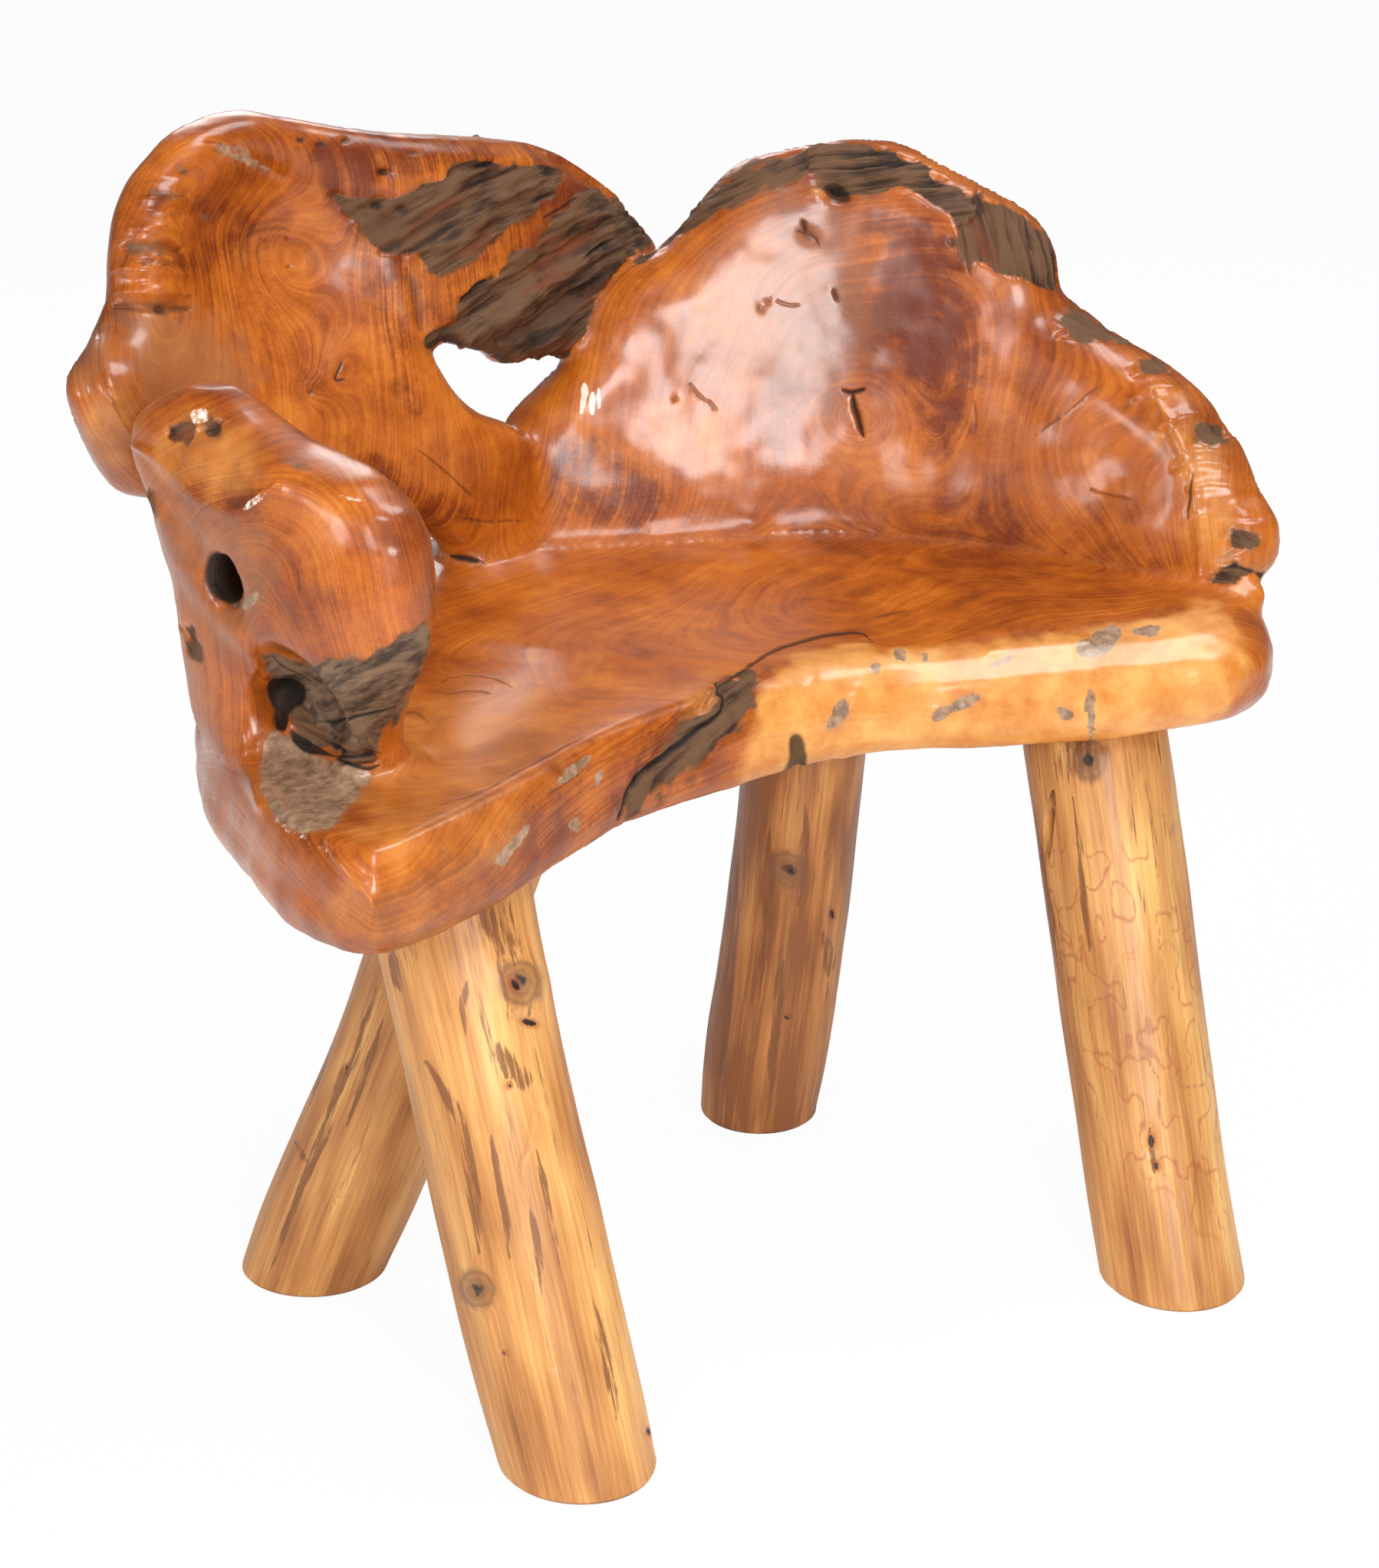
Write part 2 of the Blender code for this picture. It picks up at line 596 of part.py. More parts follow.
def arm_root():
    angle = np.arange(ARM_SIDES) * 2 * math.pi / ARM_SIDES
    along_share = np.sign(np.cos(angle)) * np.abs(np.cos(angle))**ARM_ROUNDING_POWER
    across_share = np.sign(np.sin(angle)) * np.abs(np.sin(angle))**ARM_ROUNDING_POWER
    rings = []
    for height, rear, front, thickness, inward in ARM_SLICE_SHARES:
        middle = (rear + front) / 2
        half = (front - rear) / 2
        rings.append(np.array([
            arm_place(middle + half * a, height, inward + thickness / 2 * b)
            for a, b in zip(along_share, across_share)]))
    item = make_object("arm_root", loft("arm_root", rings), TEAK)
    cut(item, knot_hole_cutter())
    cut(item, cave_cutter())
    return item


def knot_hole_cutter():
    start = arm_place(KNOT_HOLE_SHARES[0], KNOT_HOLE_SHARES[1], -1)
    end = arm_place(KNOT_HOLE_SHARES[0], KNOT_HOLE_SHARES[1], 1)
    radius = KNOT_HOLE_DIAMETER / 2
    length = float(np.linalg.norm(end - start))
    mesh = round_bar("knot_hole_cutter", start, end - start, ((0, radius), (length, radius)))
    return make_object("knot_hole_cutter", mesh, None)


def cave_cutter():
    """A stretched ball that hollows the arm's foot under the overhanging head."""
    shape = bmesh.new()
    bmesh.ops.create_uvsphere(shape, u_segments=20, v_segments=12, radius=1)
    sized = Matrix.Diagonal((CAVE_LENGTH / 2, CAVE_WIDTH / 2, CAVE_RISE / 2, 1))
    place = Matrix.Translation(Vector(arm_place(*CAVE_SHARES)))
    turn = Matrix.Rotation(ARM_HEADING, 4, "Z")
    bmesh.ops.transform(shape, matrix=place @ turn @ sized, verts=shape.verts)
    mesh = bpy.data.meshes.new("cave_cutter")
    shape.to_mesh(mesh)
    shape.free()
    return make_object("cave_cutter", mesh, None)


def leg_axis(name, height):
    """The middle of a leg at a height, on the line from its foot to its top."""
    foot, top = (plan(shares) for shares in LEG_TABLE_SHARES[name])
    return foot + (top - foot) * height / SEAT_UNDERSIDE


def leg_ring(name, height, radius):
    """A level slice through a leaning log: a circle stretched along the lean."""
    foot, top = (plan(shares) for shares in LEG_TABLE_SHARES[name])
    lean = (top - foot) / SEAT_UNDERSIDE
    slope = np.linalg.norm(lean)
    heading = lean / slope
    angle = np.arange(LEG_SIDES) * 2 * math.pi / LEG_SIDES
    circle = radius * np.column_stack([np.cos(angle), np.sin(angle)])
    circle += np.outer(circle @ heading, heading) * (math.sqrt(1 + slope**2) - 1)
    centre = leg_axis(name, height)
    return np.column_stack([circle + centre, np.full(LEG_SIDES, height)])


def leg(name):
    radius = LEG_DIAMETERS[name] / 2
    swell = LEG_SWELL_SHARES[name]
    shoulder = SEAT_UNDERSIDE - JOINT_GAP
    heights = np.linspace(0, shoulder, len(swell))
    rings = [leg_ring(name, height, radius * share) for height, share in zip(heights, swell)]
    tenon_top = SEAT_UNDERSIDE + TENON_LENGTH
    rings.append(leg_ring(name, shoulder, TENON_DIAMETER / 2))
    rings.append(leg_ring(name, tenon_top, TENON_DIAMETER / 2))
    return make_object(name, loft(name, rings), LOG)


def socket_cutter(name):
    radius = TENON_DIAMETER / 2 + SOCKET_CLEARANCE
    low = SEAT_UNDERSIDE - CUT_OVERRUN
    high = SEAT_UNDERSIDE + TENON_LENGTH + JOINT_GAP
    mesh = loft(name, [leg_ring(name[:-7], low, radius), leg_ring(name[:-7], high, radius)])
    return make_object(name, mesh, None)


def leg_screw_line(name):
    """Where a leg's screw head lies, and the way that the screw points."""
    side = LEG_SCREW_SIDES[name]
    outward = np.array([math.cos(side), math.sin(side)])
    height = SEAT_UNDERSIDE - LEG_SCREW_HEAD_OFFSET
    radius = LEG_DIAMETERS[name] / 2 - LEG_SCREW_HEAD_DIAMETER / 2
    xy = leg_axis(name, height) + outward * radius
    inward = -outward * math.sin(LEG_SCREW_TILT)
    return (xy[0], xy[1], height), (inward[0], inward[1], math.cos(LEG_SCREW_TILT))


def leg_screw(name):
    head, way = leg_screw_line(name)
    thin = LEG_SCREW_DIAMETER / 2
    wide = LEG_SCREW_HEAD_DIAMETER / 2
    steps = ((0, wide), (LEG_SCREW_HEAD_DEPTH, thin),
             (LEG_SCREW_LENGTH - LEG_SCREW_DIAMETER, thin), (LEG_SCREW_LENGTH, thin / 3))
    piece = name + "_screw"
    return make_object(piece, round_bar(piece, head, way, steps), STEEL)


def leg_screw_cutter(name):
    head, way = leg_screw_line(name)
    thin = LEG_SCREW_DIAMETER / 2 + JOINT_GAP
    wide = LEG_SCREW_HEAD_DIAMETER / 2 + JOINT_GAP
    steps = ((-LEG_SCREW_POCKET_LENGTH, wide), (0, wide), (LEG_SCREW_HEAD_DEPTH, thin),
             (LEG_SCREW_LENGTH + JOINT_GAP, thin))
    piece = name + "_screw_cutter"
    return make_object(piece, round_bar(piece, head, way, steps), None)


def dowel(name, middle):
    half = DOWEL_LENGTH / 2
    radius = DOWEL_DIAMETER / 2
    steps = ((-half, radius - DOWEL_CHAMFER), (-half + DOWEL_CHAMFER, radius),
             (half - DOWEL_CHAMFER, radius), (half, radius - DOWEL_CHAMFER))
    start = (middle[0], middle[1], SEAT_HEIGHT)
    return make_object(name, round_bar(name, start, (0, 0, 1), steps), PEG)


def dowel_cutter(name, middle):
    half = DOWEL_SOCKET_DEPTH
    radius = DOWEL_DIAMETER / 2 + JOINT_GAP
    start = (middle[0], middle[1], SEAT_HEIGHT)
    mesh = round_bar(name, start, (0, 0, 1), ((-half, radius), (half, radius)))
    return make_object(name, mesh, None)


def lag_levels():
    """Heights of the recess floor, the washer's face and the screw's tip."""
    recess = SEAT_UNDERSIDE + RECESS_DEPTH
    face = recess - JOINT_GAP - WASHER_THICKNESS - JOINT_GAP
    tip = SEAT_HEIGHT + LAG_BITE_LENGTH
    return recess, face, tip


def lag_screw(name, middle):
    _, face, tip = lag_levels()
    radius = LAG_DIAMETER / 2
    up = (0, 0, 1)
    shank = round_bar(name, (middle[0], middle[1], 0), up,
                      ((face, radius), (tip - LAG_POINT_LENGTH, radius), (tip, radius / 4)))
    head_radius = LAG_HEAD_ACROSS / math.sqrt(3)
    head = round_bar(name + "_head", (middle[0], middle[1], 0), up,
                     ((face - LAG_HEAD_HEIGHT, head_radius), (face, head_radius)), sides=HEAD_SIDES)
    item = make_object(name, head, STEEL)
    join = make_object(name + "_shank", shank, None)
    join.hide_render = True
    join.display_type = "WIRE"
    step = item.modifiers.new("shank", "BOOLEAN")
    step.operation = "UNION"
    step.solver = "EXACT"
    step.object = join
    return item


def washer(name, middle):
    _, face, _ = lag_levels()
    start = (middle[0], middle[1], 0)
    low = face + JOINT_GAP
    outer = WASHER_DIAMETER / 2
    bore = LAG_DIAMETER / 2 + BORE_CLEARANCE
    item = make_object(name, round_bar(name, start, (0, 0, 1),
                                       ((low, outer), (low + WASHER_THICKNESS, outer)),
                                       WASHER_SIDES), STEEL)
    hole = round_bar(name + "_cutter", start, (0, 0, 1),
                     ((low - CUT_OVERRUN, bore), (low + WASHER_THICKNESS + CUT_OVERRUN, bore)))
    cut(item, make_object(name + "_cutter", hole, None))
    return item


def lag_cutter(name, middle):
    recess, _, tip = lag_levels()
    wide = RECESS_DIAMETER / 2
    thin = LAG_DIAMETER / 2 + BORE_CLEARANCE
    steps = ((SEAT_UNDERSIDE - CUT_OVERRUN, wide), (recess, wide), (recess, thin),
             (tip + DOWEL_END_SPACE, thin))
    mesh = round_bar(name, (middle[0], middle[1], 0), (0, 0, 1), steps)
    return make_object(name, mesh, None)


def peg_all(seat, item, label, dowel_places, lag_places):
    """Dowels and lag screws between the slab and one root, with their holes."""
    for number, middle in enumerate(dowel_places, 1):
        name = f"{label}_dowel_{number}"
        dowel(name, middle)
        hole = dowel_cutter(name + "_cutter", middle)
        cut(seat, hole)
        cut(item, hole)
    for number, middle in enumerate(lag_places, 1):
        name = f"{label}_lag_screw_{number}"
        lag_screw(name, middle)
        washer(f"{label}_washer_{number}", middle)
        hole = lag_cutter(name + "_cutter", middle)
        cut(seat, hole)
        cut(item, hole)


def build_chair():
    clear_scene()
    seat = seat_slab()
    back_shape = back_wall()
    wing_shape = wing_wall()
    back = back_root(back_shape)
    wing = wing_root(wing_shape, back)
    arm = arm_root()
    half = DOWEL_LENGTH / 2
    peg_all(seat, back, "back",
            [back_shape.foot_middle(share, half) for share in BACK_DOWEL_SHARES],
            [back_shape.foot_middle(share, LAG_BITE_LENGTH) for share in BACK_LAG_SHARES])
    peg_all(seat, wing, "wing",
            [wing_shape.foot_middle(share, half) for share in WING_DOWEL_SHARES],
            [wing_shape.foot_middle(share, LAG_BITE_LENGTH) for share in WING_LAG_SHARES])
    peg_all(seat, arm, "arm",
            [arm_place(along, 0, inward) for along, inward in ARM_DOWEL_SHARES],
            [arm_place(along, 0, inward) for along, inward in ARM_LAG_SHARES])
    for name in LEG_TABLE_SHARES:
        log = leg(name)
        leg_screw(name)
        cut(seat, socket_cutter(name + "_socket"))
        hole = leg_screw_cutter(name)
        cut(seat, hole)
        cut(log, hole)


build_chair()
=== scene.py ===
import math

import bmesh
import bpy
import numpy as np
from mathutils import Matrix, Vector
from mathutils.geometry import tessellate_polygon
from numpy.linalg import norm, svd


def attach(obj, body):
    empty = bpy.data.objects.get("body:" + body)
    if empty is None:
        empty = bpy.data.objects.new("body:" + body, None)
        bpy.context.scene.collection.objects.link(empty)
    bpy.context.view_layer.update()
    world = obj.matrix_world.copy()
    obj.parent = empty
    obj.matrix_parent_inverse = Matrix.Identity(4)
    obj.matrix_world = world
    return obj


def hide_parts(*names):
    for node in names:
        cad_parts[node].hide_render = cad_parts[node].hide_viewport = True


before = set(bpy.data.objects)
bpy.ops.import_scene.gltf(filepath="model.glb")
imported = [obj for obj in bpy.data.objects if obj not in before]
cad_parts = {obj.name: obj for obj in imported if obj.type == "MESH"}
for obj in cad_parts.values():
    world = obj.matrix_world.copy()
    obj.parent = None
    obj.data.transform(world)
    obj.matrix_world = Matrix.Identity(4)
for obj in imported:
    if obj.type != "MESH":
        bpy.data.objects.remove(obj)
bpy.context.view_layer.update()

# %% [markdown]
# The camera stands where the photograph's camera stood: 34 degrees to the chair's left of straight
# ahead, 21 degrees down, 2.4 metres away. The same numbers turn a point of the chair into a pixel
# of the photograph, so a mark that shows at a pixel can be put on the wood behind that pixel.
# %% Camera, and the way from a point to a pixel
PHOTO_WIDTH = 1798
PHOTO_HEIGHT = 2044
CAMERA_PLACE = np.array([-1.40192, -2.05754, 1.28008])
CAMERA_TARGET = np.array([-0.149, -0.200, 0.420])
FOCAL_PIXELS = 4908.0
SENSOR_HEIGHT = 36.0
PIXELS_PER_METRE = 2045.0

sight = CAMERA_TARGET - CAMERA_PLACE
sight = sight / norm(sight)
rightward = np.cross(sight, (0.0, 0.0, 1.0))
rightward = rightward / norm(rightward)
upward = np.cross(rightward, sight)

camera_data = bpy.data.cameras.new("photo_camera")
camera_data.sensor_fit = "VERTICAL"
camera_data.sensor_height = SENSOR_HEIGHT
camera_data.lens = SENSOR_HEIGHT * FOCAL_PIXELS / PHOTO_HEIGHT
camera = bpy.data.objects.new("photo_camera", camera_data)
camera.location = CAMERA_PLACE
camera.rotation_euler = Vector(sight).to_track_quat("-Z", "Y").to_euler()
bpy.context.scene.collection.objects.link(camera)
bpy.context.scene.camera = camera


def to_photo(points):
    """Pixel of each point, x to the right and y down: the sideways and upward distance from the
    line of sight, divided by the distance along it, times the focal length in pixels."""
    away = points - CAMERA_PLACE
    depth = away @ sight
    across = PHOTO_WIDTH / 2 + FOCAL_PIXELS * (away @ rightward) / depth
    down = PHOTO_HEIGHT / 2 - FOCAL_PIXELS * (away @ upward) / depth
    return np.column_stack([across, down])


print("target pixel", to_photo(CAMERA_TARGET[None, :]))

# %% [markdown]
# Natural surfaces need randomness that is smooth and the same in every run. Noise does that: each
# corner of a grid of cells gets a fixed random number, and a point takes an eased mix of the eight
# corners round it. Layers of ever finer noise make rough things. The numbers come from whole-number
# mixing of the cell's address, so that no table and no random state is needed.
# %% Noise, and small number helpers
MIX_X, MIX_Y, MIX_Z, MIX_SEED = 374761393, 668265263, 974711, 97463477
MIX_TURN = 1274126177
WORD = 0xFFFFFFFF
SHORT = 0xFFFF
LAYER_SHIFT = 17.3


def corner_value(x, y, z, seed):
    """A fixed random number from 0 to 1 for each cell corner, by multiplying and folding bits."""
    word = (x * MIX_X + y * MIX_Y + z * MIX_Z + seed * MIX_SEED) & WORD
    word = ((word ^ (word >> 13)) * MIX_TURN) & WORD
    word = word ^ (word >> 16)
    return (word & SHORT) / SHORT


def noise(points, size, seed=0, layers=1):
    """Smooth random values from -1 to 1: cells of the given size, each layer half as big and half
    as strong as the one before."""
    total = np.zeros(len(points))
    strength, reach = 1.0, 0.0
    size = np.asarray(size, float)
    for layer in range(layers):
        place = points / (size / 2**layer) + LAYER_SHIFT * (seed + layer)
        cell = np.floor(place).astype(np.int64)
        part = place - cell
        part = part * part * (3 - 2 * part)
        value = np.zeros(len(points))
        for corner in range(8):
            step = np.array([corner & 1, (corner >> 1) & 1, corner >> 2])
            weight = np.prod(np.where(step, part, 1 - part), axis=1)
            value += weight * corner_value(*(cell + step).T, seed)
        total += strength * (2 * value - 1)
        reach += strength
        strength /= 2
    return total / reach


def ease(value, low, high):
    """0 below low, 1 above high, and a smooth step between."""
    share = np.clip((value - low) / (high - low), 0, 1)
    return share * share * (3 - 2 * share)


def bump_at(distance, reach):
    """A smooth hill: 1 at distance 0, fading like a bell with the given reach."""
    return np.exp(-(distance / reach)**2)


print("noise", noise(np.array([[0.1, 0.2, 0.3], [0.4, 0.5, 0.6]]), 0.1, 3, 3))

# %% [markdown]
# Meshes are read and written as whole arrays. These helpers take points, edges and normals out of a
# mesh, put points back, and store a number for each point under a name, which a material can read
# later.
# %% Mesh arrays
def fetched(items, key, width=1, kind=np.float32):
    """One property of all items as an array, with a row of the given width for each item."""
    flat = np.empty(len(items) * width, kind)
    items.foreach_get(key, flat)
    return flat.reshape(-1, width) if width > 1 else flat


def points_of(mesh):
    return fetched(mesh.vertices, "co", 3).astype(float)


def set_points(mesh, points):
    mesh.vertices.foreach_set("co", points.astype(np.float32).ravel())
    mesh.update()


def normals_of(mesh):
    return fetched(mesh.vertex_normals, "vector", 3).astype(float)


def edges_of(mesh):
    return fetched(mesh.edges, "vertices", 2, np.int32)


def store(mesh, name, values):
    """Keeps one number, or three, for each point of the mesh under a name."""
    kind, key = ("FLOAT", "value") if values.ndim == 1 else ("FLOAT_VECTOR", "vector")
    layer = mesh.attributes.get(name) or mesh.attributes.new(name, kind, "POINT")
    layer.data.foreach_set(key, values.astype(np.float32).ravel())


def read(mesh, name):
    return fetched(mesh.attributes[name].data, "value").astype(float)


def read_three(mesh, name):
    return fetched(mesh.attributes[name].data, "vector", 3).astype(float)


print("first node", len(points_of(next(iter(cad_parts.values())).data)), "points")

# %% [markdown]
# Softening a surface, and letting a mask grow over it, both follow the mesh's edges from each point
# to its neighbours. A row of three points shows what the mean of the neighbours is.
# %% Pieces, and neighbours in a mesh
def all_parts(shape):
    return list(shape.verts) + list(shape.edges) + list(shape.faces)


def link_piece(name, mesh):
    piece = bpy.data.objects.new(name, mesh)
    bpy.context.scene.collection.objects.link(piece)
    return piece


def finished_mesh(piece):
    """The piece's mesh with its modifiers applied, as a new mesh."""
    graph = bpy.context.evaluated_depsgraph_get()
    return bpy.data.meshes.new_from_object(piece.evaluated_get(graph))


def neighbour_mean(values, edges, count):
    """Mean over each point's neighbours: sums over both ends of every edge, then divided."""
    first, second = edges.T
    links = np.bincount(first, minlength=count) + np.bincount(second, minlength=count)
    columns = []
    for column in np.atleast_2d(values.T):
        columns.append(np.bincount(first, column[second], count)
                       + np.bincount(second, column[first], count))
    return (np.array(columns) / links).T.reshape(values.shape)


def spread(mask, edges, steps, fade):
    """Lets a mask grow over the mesh, losing some of its strength at each edge it crosses."""
    mask = mask.copy()
    first, second = edges.T
    for _ in range(steps):
        grown = mask.copy()
        np.maximum.at(grown, first, fade * mask[second])
        np.maximum.at(grown, second, fade * mask[first])
        mask = grown
    return mask


chain = np.array([(0, 1), (1, 2)])
print("neighbours' mean of 0, 1, 5:", neighbour_mean(np.array([0.0, 1.0, 5.0]), chain, 3))

# %% [markdown]
# On the real chair the slab, the back, the wing and the arm read as one mass: the carver cut smooth
# hollows across the seams. Four separate solids can't show that, so copies of the four solids are
# melted into one closed skin by a voxel remesh, with the holes for pegs and screws plugged first.
# %% Copies of the solids
ROOTS = ("seat_slab", "back_root", "wing_root", "arm_root")
SEAT_TOP = 0.440
SEAT_UNDERSIDE = 0.370
RECESS_FLOOR = 0.382
VOXEL = 0.0034
ROOT_GROWTH = 0.0009
FOOT_SINK = 0.004
NICK_PLACE = (0.378, -0.145, 0.437)
NICK_RADIUS = 0.012
SAME_POINT = 0.00001


def merged(name):
    shape = bmesh.new()
    shape.from_mesh(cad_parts[name].data)
    bmesh.ops.remove_doubles(shape, verts=shape.verts, dist=SAME_POINT)
    shape.normal_update()
    return shape


def take(shape):
    """Points and faces of a shape, which is then thrown away."""
    shape.verts.index_update()
    points = np.array([vert.co for vert in shape.verts])
    faces = [tuple(vert.index for vert in face.verts) for face in shape.faces]
    shape.free()
    return points, faces


def grow(shape):
    """Moves every point of a small CAD shape out along its normal by a hair."""
    for vert, normal in [(vert, vert.normal.copy()) for vert in shape.verts]:
        vert.co += normal * ROOT_GROWTH


def root_copy(name):
    """A root, grown so that it meets its neighbours, with its foot sunk in the slab."""
    shape = merged(name)
    if name != "seat_slab":
        grow(shape)
        for vert in shape.verts:
            if vert.co.z < SEAT_TOP + ROOT_GROWTH:
                vert.co.z -= FOOT_SINK
    return take(shape)


def plug_copy(name, floor):
    """The part of a peg or screw above a level, closed flat there, which fills its hole."""
    shape = merged(name)
    bmesh.ops.bisect_plane(shape, geom=all_parts(shape), plane_co=(0, 0, floor),
                           plane_no=(0, 0, 1), clear_inner=True)
    bmesh.ops.holes_fill(shape, edges=shape.edges)
    bmesh.ops.recalc_face_normals(shape, faces=shape.faces)
    grow(shape)
    return take(shape)


def nick_filling():
    """A small ball of wood where the right arm's end meets the slab."""
    shape = bmesh.new()
    bmesh.ops.create_icosphere(shape, subdivisions=3, radius=NICK_RADIUS)
    bmesh.ops.translate(shape, verts=shape.verts, vec=NICK_PLACE)
    return take(shape)


print("back", len(root_copy("back_root")[0]), "points, ball", len(nick_filling()[0]))

# %% [markdown]
# All copies go into one mesh. A colour on each point says which root it belongs to, so that the
# skin can be cut apart again at the end, and each root stays a piece of its own.
# %% Join the copies
def joined_roots():
    plugs = [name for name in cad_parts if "dowel" in name or "screw" in name]
    shapes = [(name, root_copy(name)) for name in ROOTS]
    for name in plugs:
        floor = RECESS_FLOOR if "lag" in name else SEAT_UNDERSIDE
        shapes.append(("plug", plug_copy(name, floor)))
    shapes.append(("plug", nick_filling()))
    points, faces, owners = [], [], []
    for name, (some, some_faces) in shapes:
        start = sum(len(part) for part in points)
        points.append(some)
        faces += [tuple(start + corner for corner in face) for face in some_faces]
        owner = [float(name == root) for root in ROOTS[1:]] + [1.0]
        owners.append(np.tile(owner, (len(some), 1)))
    mesh = bpy.data.meshes.new("roots")
    mesh.from_pydata(np.vstack(points).tolist(), [], faces)
    layer = mesh.attributes.new("owner", "FLOAT_COLOR", "POINT")
    layer.data.foreach_set("color", np.vstack(owners).astype(np.float32).ravel())
    return mesh


roots_mesh = joined_roots()
print("joined roots", len(roots_mesh.vertices), "points")

# %% [markdown]
# A Remesh modifier in voxel mode turns the joined solids into one closed skin: it fills space with
# small cubes and keeps the outside of those that the solids touch. A Data Transfer modifier then
# copies the owner colours to the skin's points from the nearest faces of the solids.
# %% Melt the roots together
def melted(mesh):
    """The remeshed skin, with the owner colours of the nearest faces of the joined solids."""
    source = link_piece("roots_source", mesh)
    skin = link_piece("roots_skin", mesh.copy())
    remesh = skin.modifiers.new("melt", "REMESH")
    remesh.mode = "VOXEL"
    remesh.voxel_size = VOXEL
    skin.data = finished_mesh(skin)
    skin.modifiers.clear()
    for old in list(skin.data.attributes):
        if old.name == "owner":
            skin.data.attributes.remove(old)
    skin.data.attributes.new("owner", "FLOAT_COLOR", "POINT")
    carry = skin.modifiers.new("carry", "DATA_TRANSFER")
    carry.object = source
    carry.use_vert_data = True
    carry.data_types_verts = {"COLOR_VERTEX"}
    carry.vert_mapping = "POLYINTERP_NEAREST"
    done = finished_mesh(skin)
    bpy.data.objects.remove(source)
    bpy.data.objects.remove(skin)
    return done


skin = melted(roots_mesh)
shares = fetched(skin.attributes["owner"].data, "color", 4)
for number, root in enumerate(ROOTS[1:]):
    store(skin, root, shares[:, number])
print("skin", len(skin.vertices), "points, shares of the roots", shares.mean(axis=0).round(3))

# %% [markdown]
# Carved root wood has no sharp inner corners: a gouge leaves a soft hollow where the back rises
# from the seat. Moving each point towards the middle of its neighbours, again and again, melts the
# corners. It is done gently everywhere, which also takes out the solids' flat facets, and strongly
# near the places where one root meets another, and at a few places where the photograph shows a
# rounder form.
# %% Soften the skin
SOFT_ROUNDS = 6
FILLET_ROUNDS = 46
FILLET_STEPS = 11
FILLET_FADE = 0.90
MELT_ROUNDS = 150
MELTED_SPOTS = (((1115, 400), 190), ((1110, 560), 120), ((322, 925), 75))


def facing_of(points, normals):
    """The cosine of the angle between each normal and the direction to the camera."""
    towards = CAMERA_PLACE - points
    towards /= norm(towards, axis=1)[:, None]
    return np.sum(normals * towards, axis=1)


def softened(points, edges, weight, rounds):
    """Each round moves a point half of its weight towards its neighbours' mean."""
    for _ in range(rounds):
        points = points + 0.5 * weight[:, None] * (
            neighbour_mean(points, edges, len(points)) - points)
    return points


place = points_of(skin)
edges = edges_of(skin)
owner = np.column_stack([read(skin, root) for root in ROOTS[1:]])
owner = np.column_stack([1 - owner.sum(axis=1), owner])
owner_number = owner.argmax(axis=1)
meets = owner_number[edges[:, 0]] != owner_number[edges[:, 1]]
seam = np.zeros(len(place))
seam[edges[meets].ravel()] = 1
near_seam = spread(seam, edges, FILLET_STEPS, FILLET_FADE)
place = softened(place, edges, np.ones(len(place)), SOFT_ROUNDS)
place = softened(place, edges, ease(near_seam, 0.25, 0.75), FILLET_ROUNDS)
set_points(skin, place)
faces_camera = ease(facing_of(place, normals_of(skin)), 0.0, 0.2)
pixels = to_photo(place)
melt = np.zeros(len(place))
for centre, reach in MELTED_SPOTS:
    melt = np.maximum(melt, bump_at(norm(pixels - centre, axis=1), reach))
place = softened(place, edges, melt * faces_camera, MELT_ROUNDS)
set_points(skin, place)
store(skin, "near_seam", near_seam)
print("seam points", int(seam.sum()))

# %% [markdown]
# The mouth of the arm's knot hole slides along the wood: the points round it move together, and
# those further away move less and less. The slide is worked out from the shift in the picture, and
# lies in the plane of the wood round the mouth.
# %% Slide the mouth of the knot hole
MOUTH_PIXEL, MOUTH_LIP, LIP_WIDTH = (266, 771), 46, 12
MOUTH_SHIFT = (44, -18)
MOUTH_REACH = 0.046

around = np.abs(norm(pixels - MOUTH_PIXEL, axis=1) - MOUTH_LIP)
lip = (around < LIP_WIDTH) & (faces_camera > 0.9)
mouth = place[lip].mean(axis=0)
across_lip = normals_of(skin)[lip].mean(axis=0)
slide = (MOUTH_SHIFT[0] * rightward - MOUTH_SHIFT[1] * upward) / PIXELS_PER_METRE
slide -= sight * (slide @ across_lip) / (sight @ across_lip)
place += bump_at(norm(place - mouth, axis=1), MOUTH_REACH)[:, None] * slide
set_points(skin, place)
print("mouth", mouth.round(3), "slides by", slide.round(4))

# %% [markdown]
# Marks and patches are drawn in the photograph's pixels, as closed outlines and open lines, which
# are curved by cutting their corners. Each one is a run of numbers: x, y, x, y.
# %% Outlines and lines in the photograph
def line_distance(pixels, line):
    """Least distance from each pixel to a run of straight pieces."""
    nearest = np.full(len(pixels), np.inf)
    for start, end in zip(line[:-1], line[1:]):
        along = end - start
        share = np.clip(((pixels - start) @ along) / (along @ along), 0, 1)
        gap = norm(pixels - start - share[:, None] * along, axis=1)
        nearest = np.minimum(nearest, gap)
    return nearest


def curved(line, closed=False):
    """A line with its corners cut twice, at a quarter and three quarters of each piece."""
    line = np.reshape(line, (-1, 2)).astype(float)
    if closed:
        line = np.vstack([line, line[:1]])
    for _ in range(2):
        near, far = 0.75 * line[:-1] + 0.25 * line[1:], 0.25 * line[:-1] + 0.75 * line[1:]
        middle = np.stack([near, far], axis=1).reshape(-1, 2)
        line = middle if closed else np.vstack([line[:1], middle, line[-1:]])
        if closed:
            line = np.vstack([line, line[:1]])
    return line


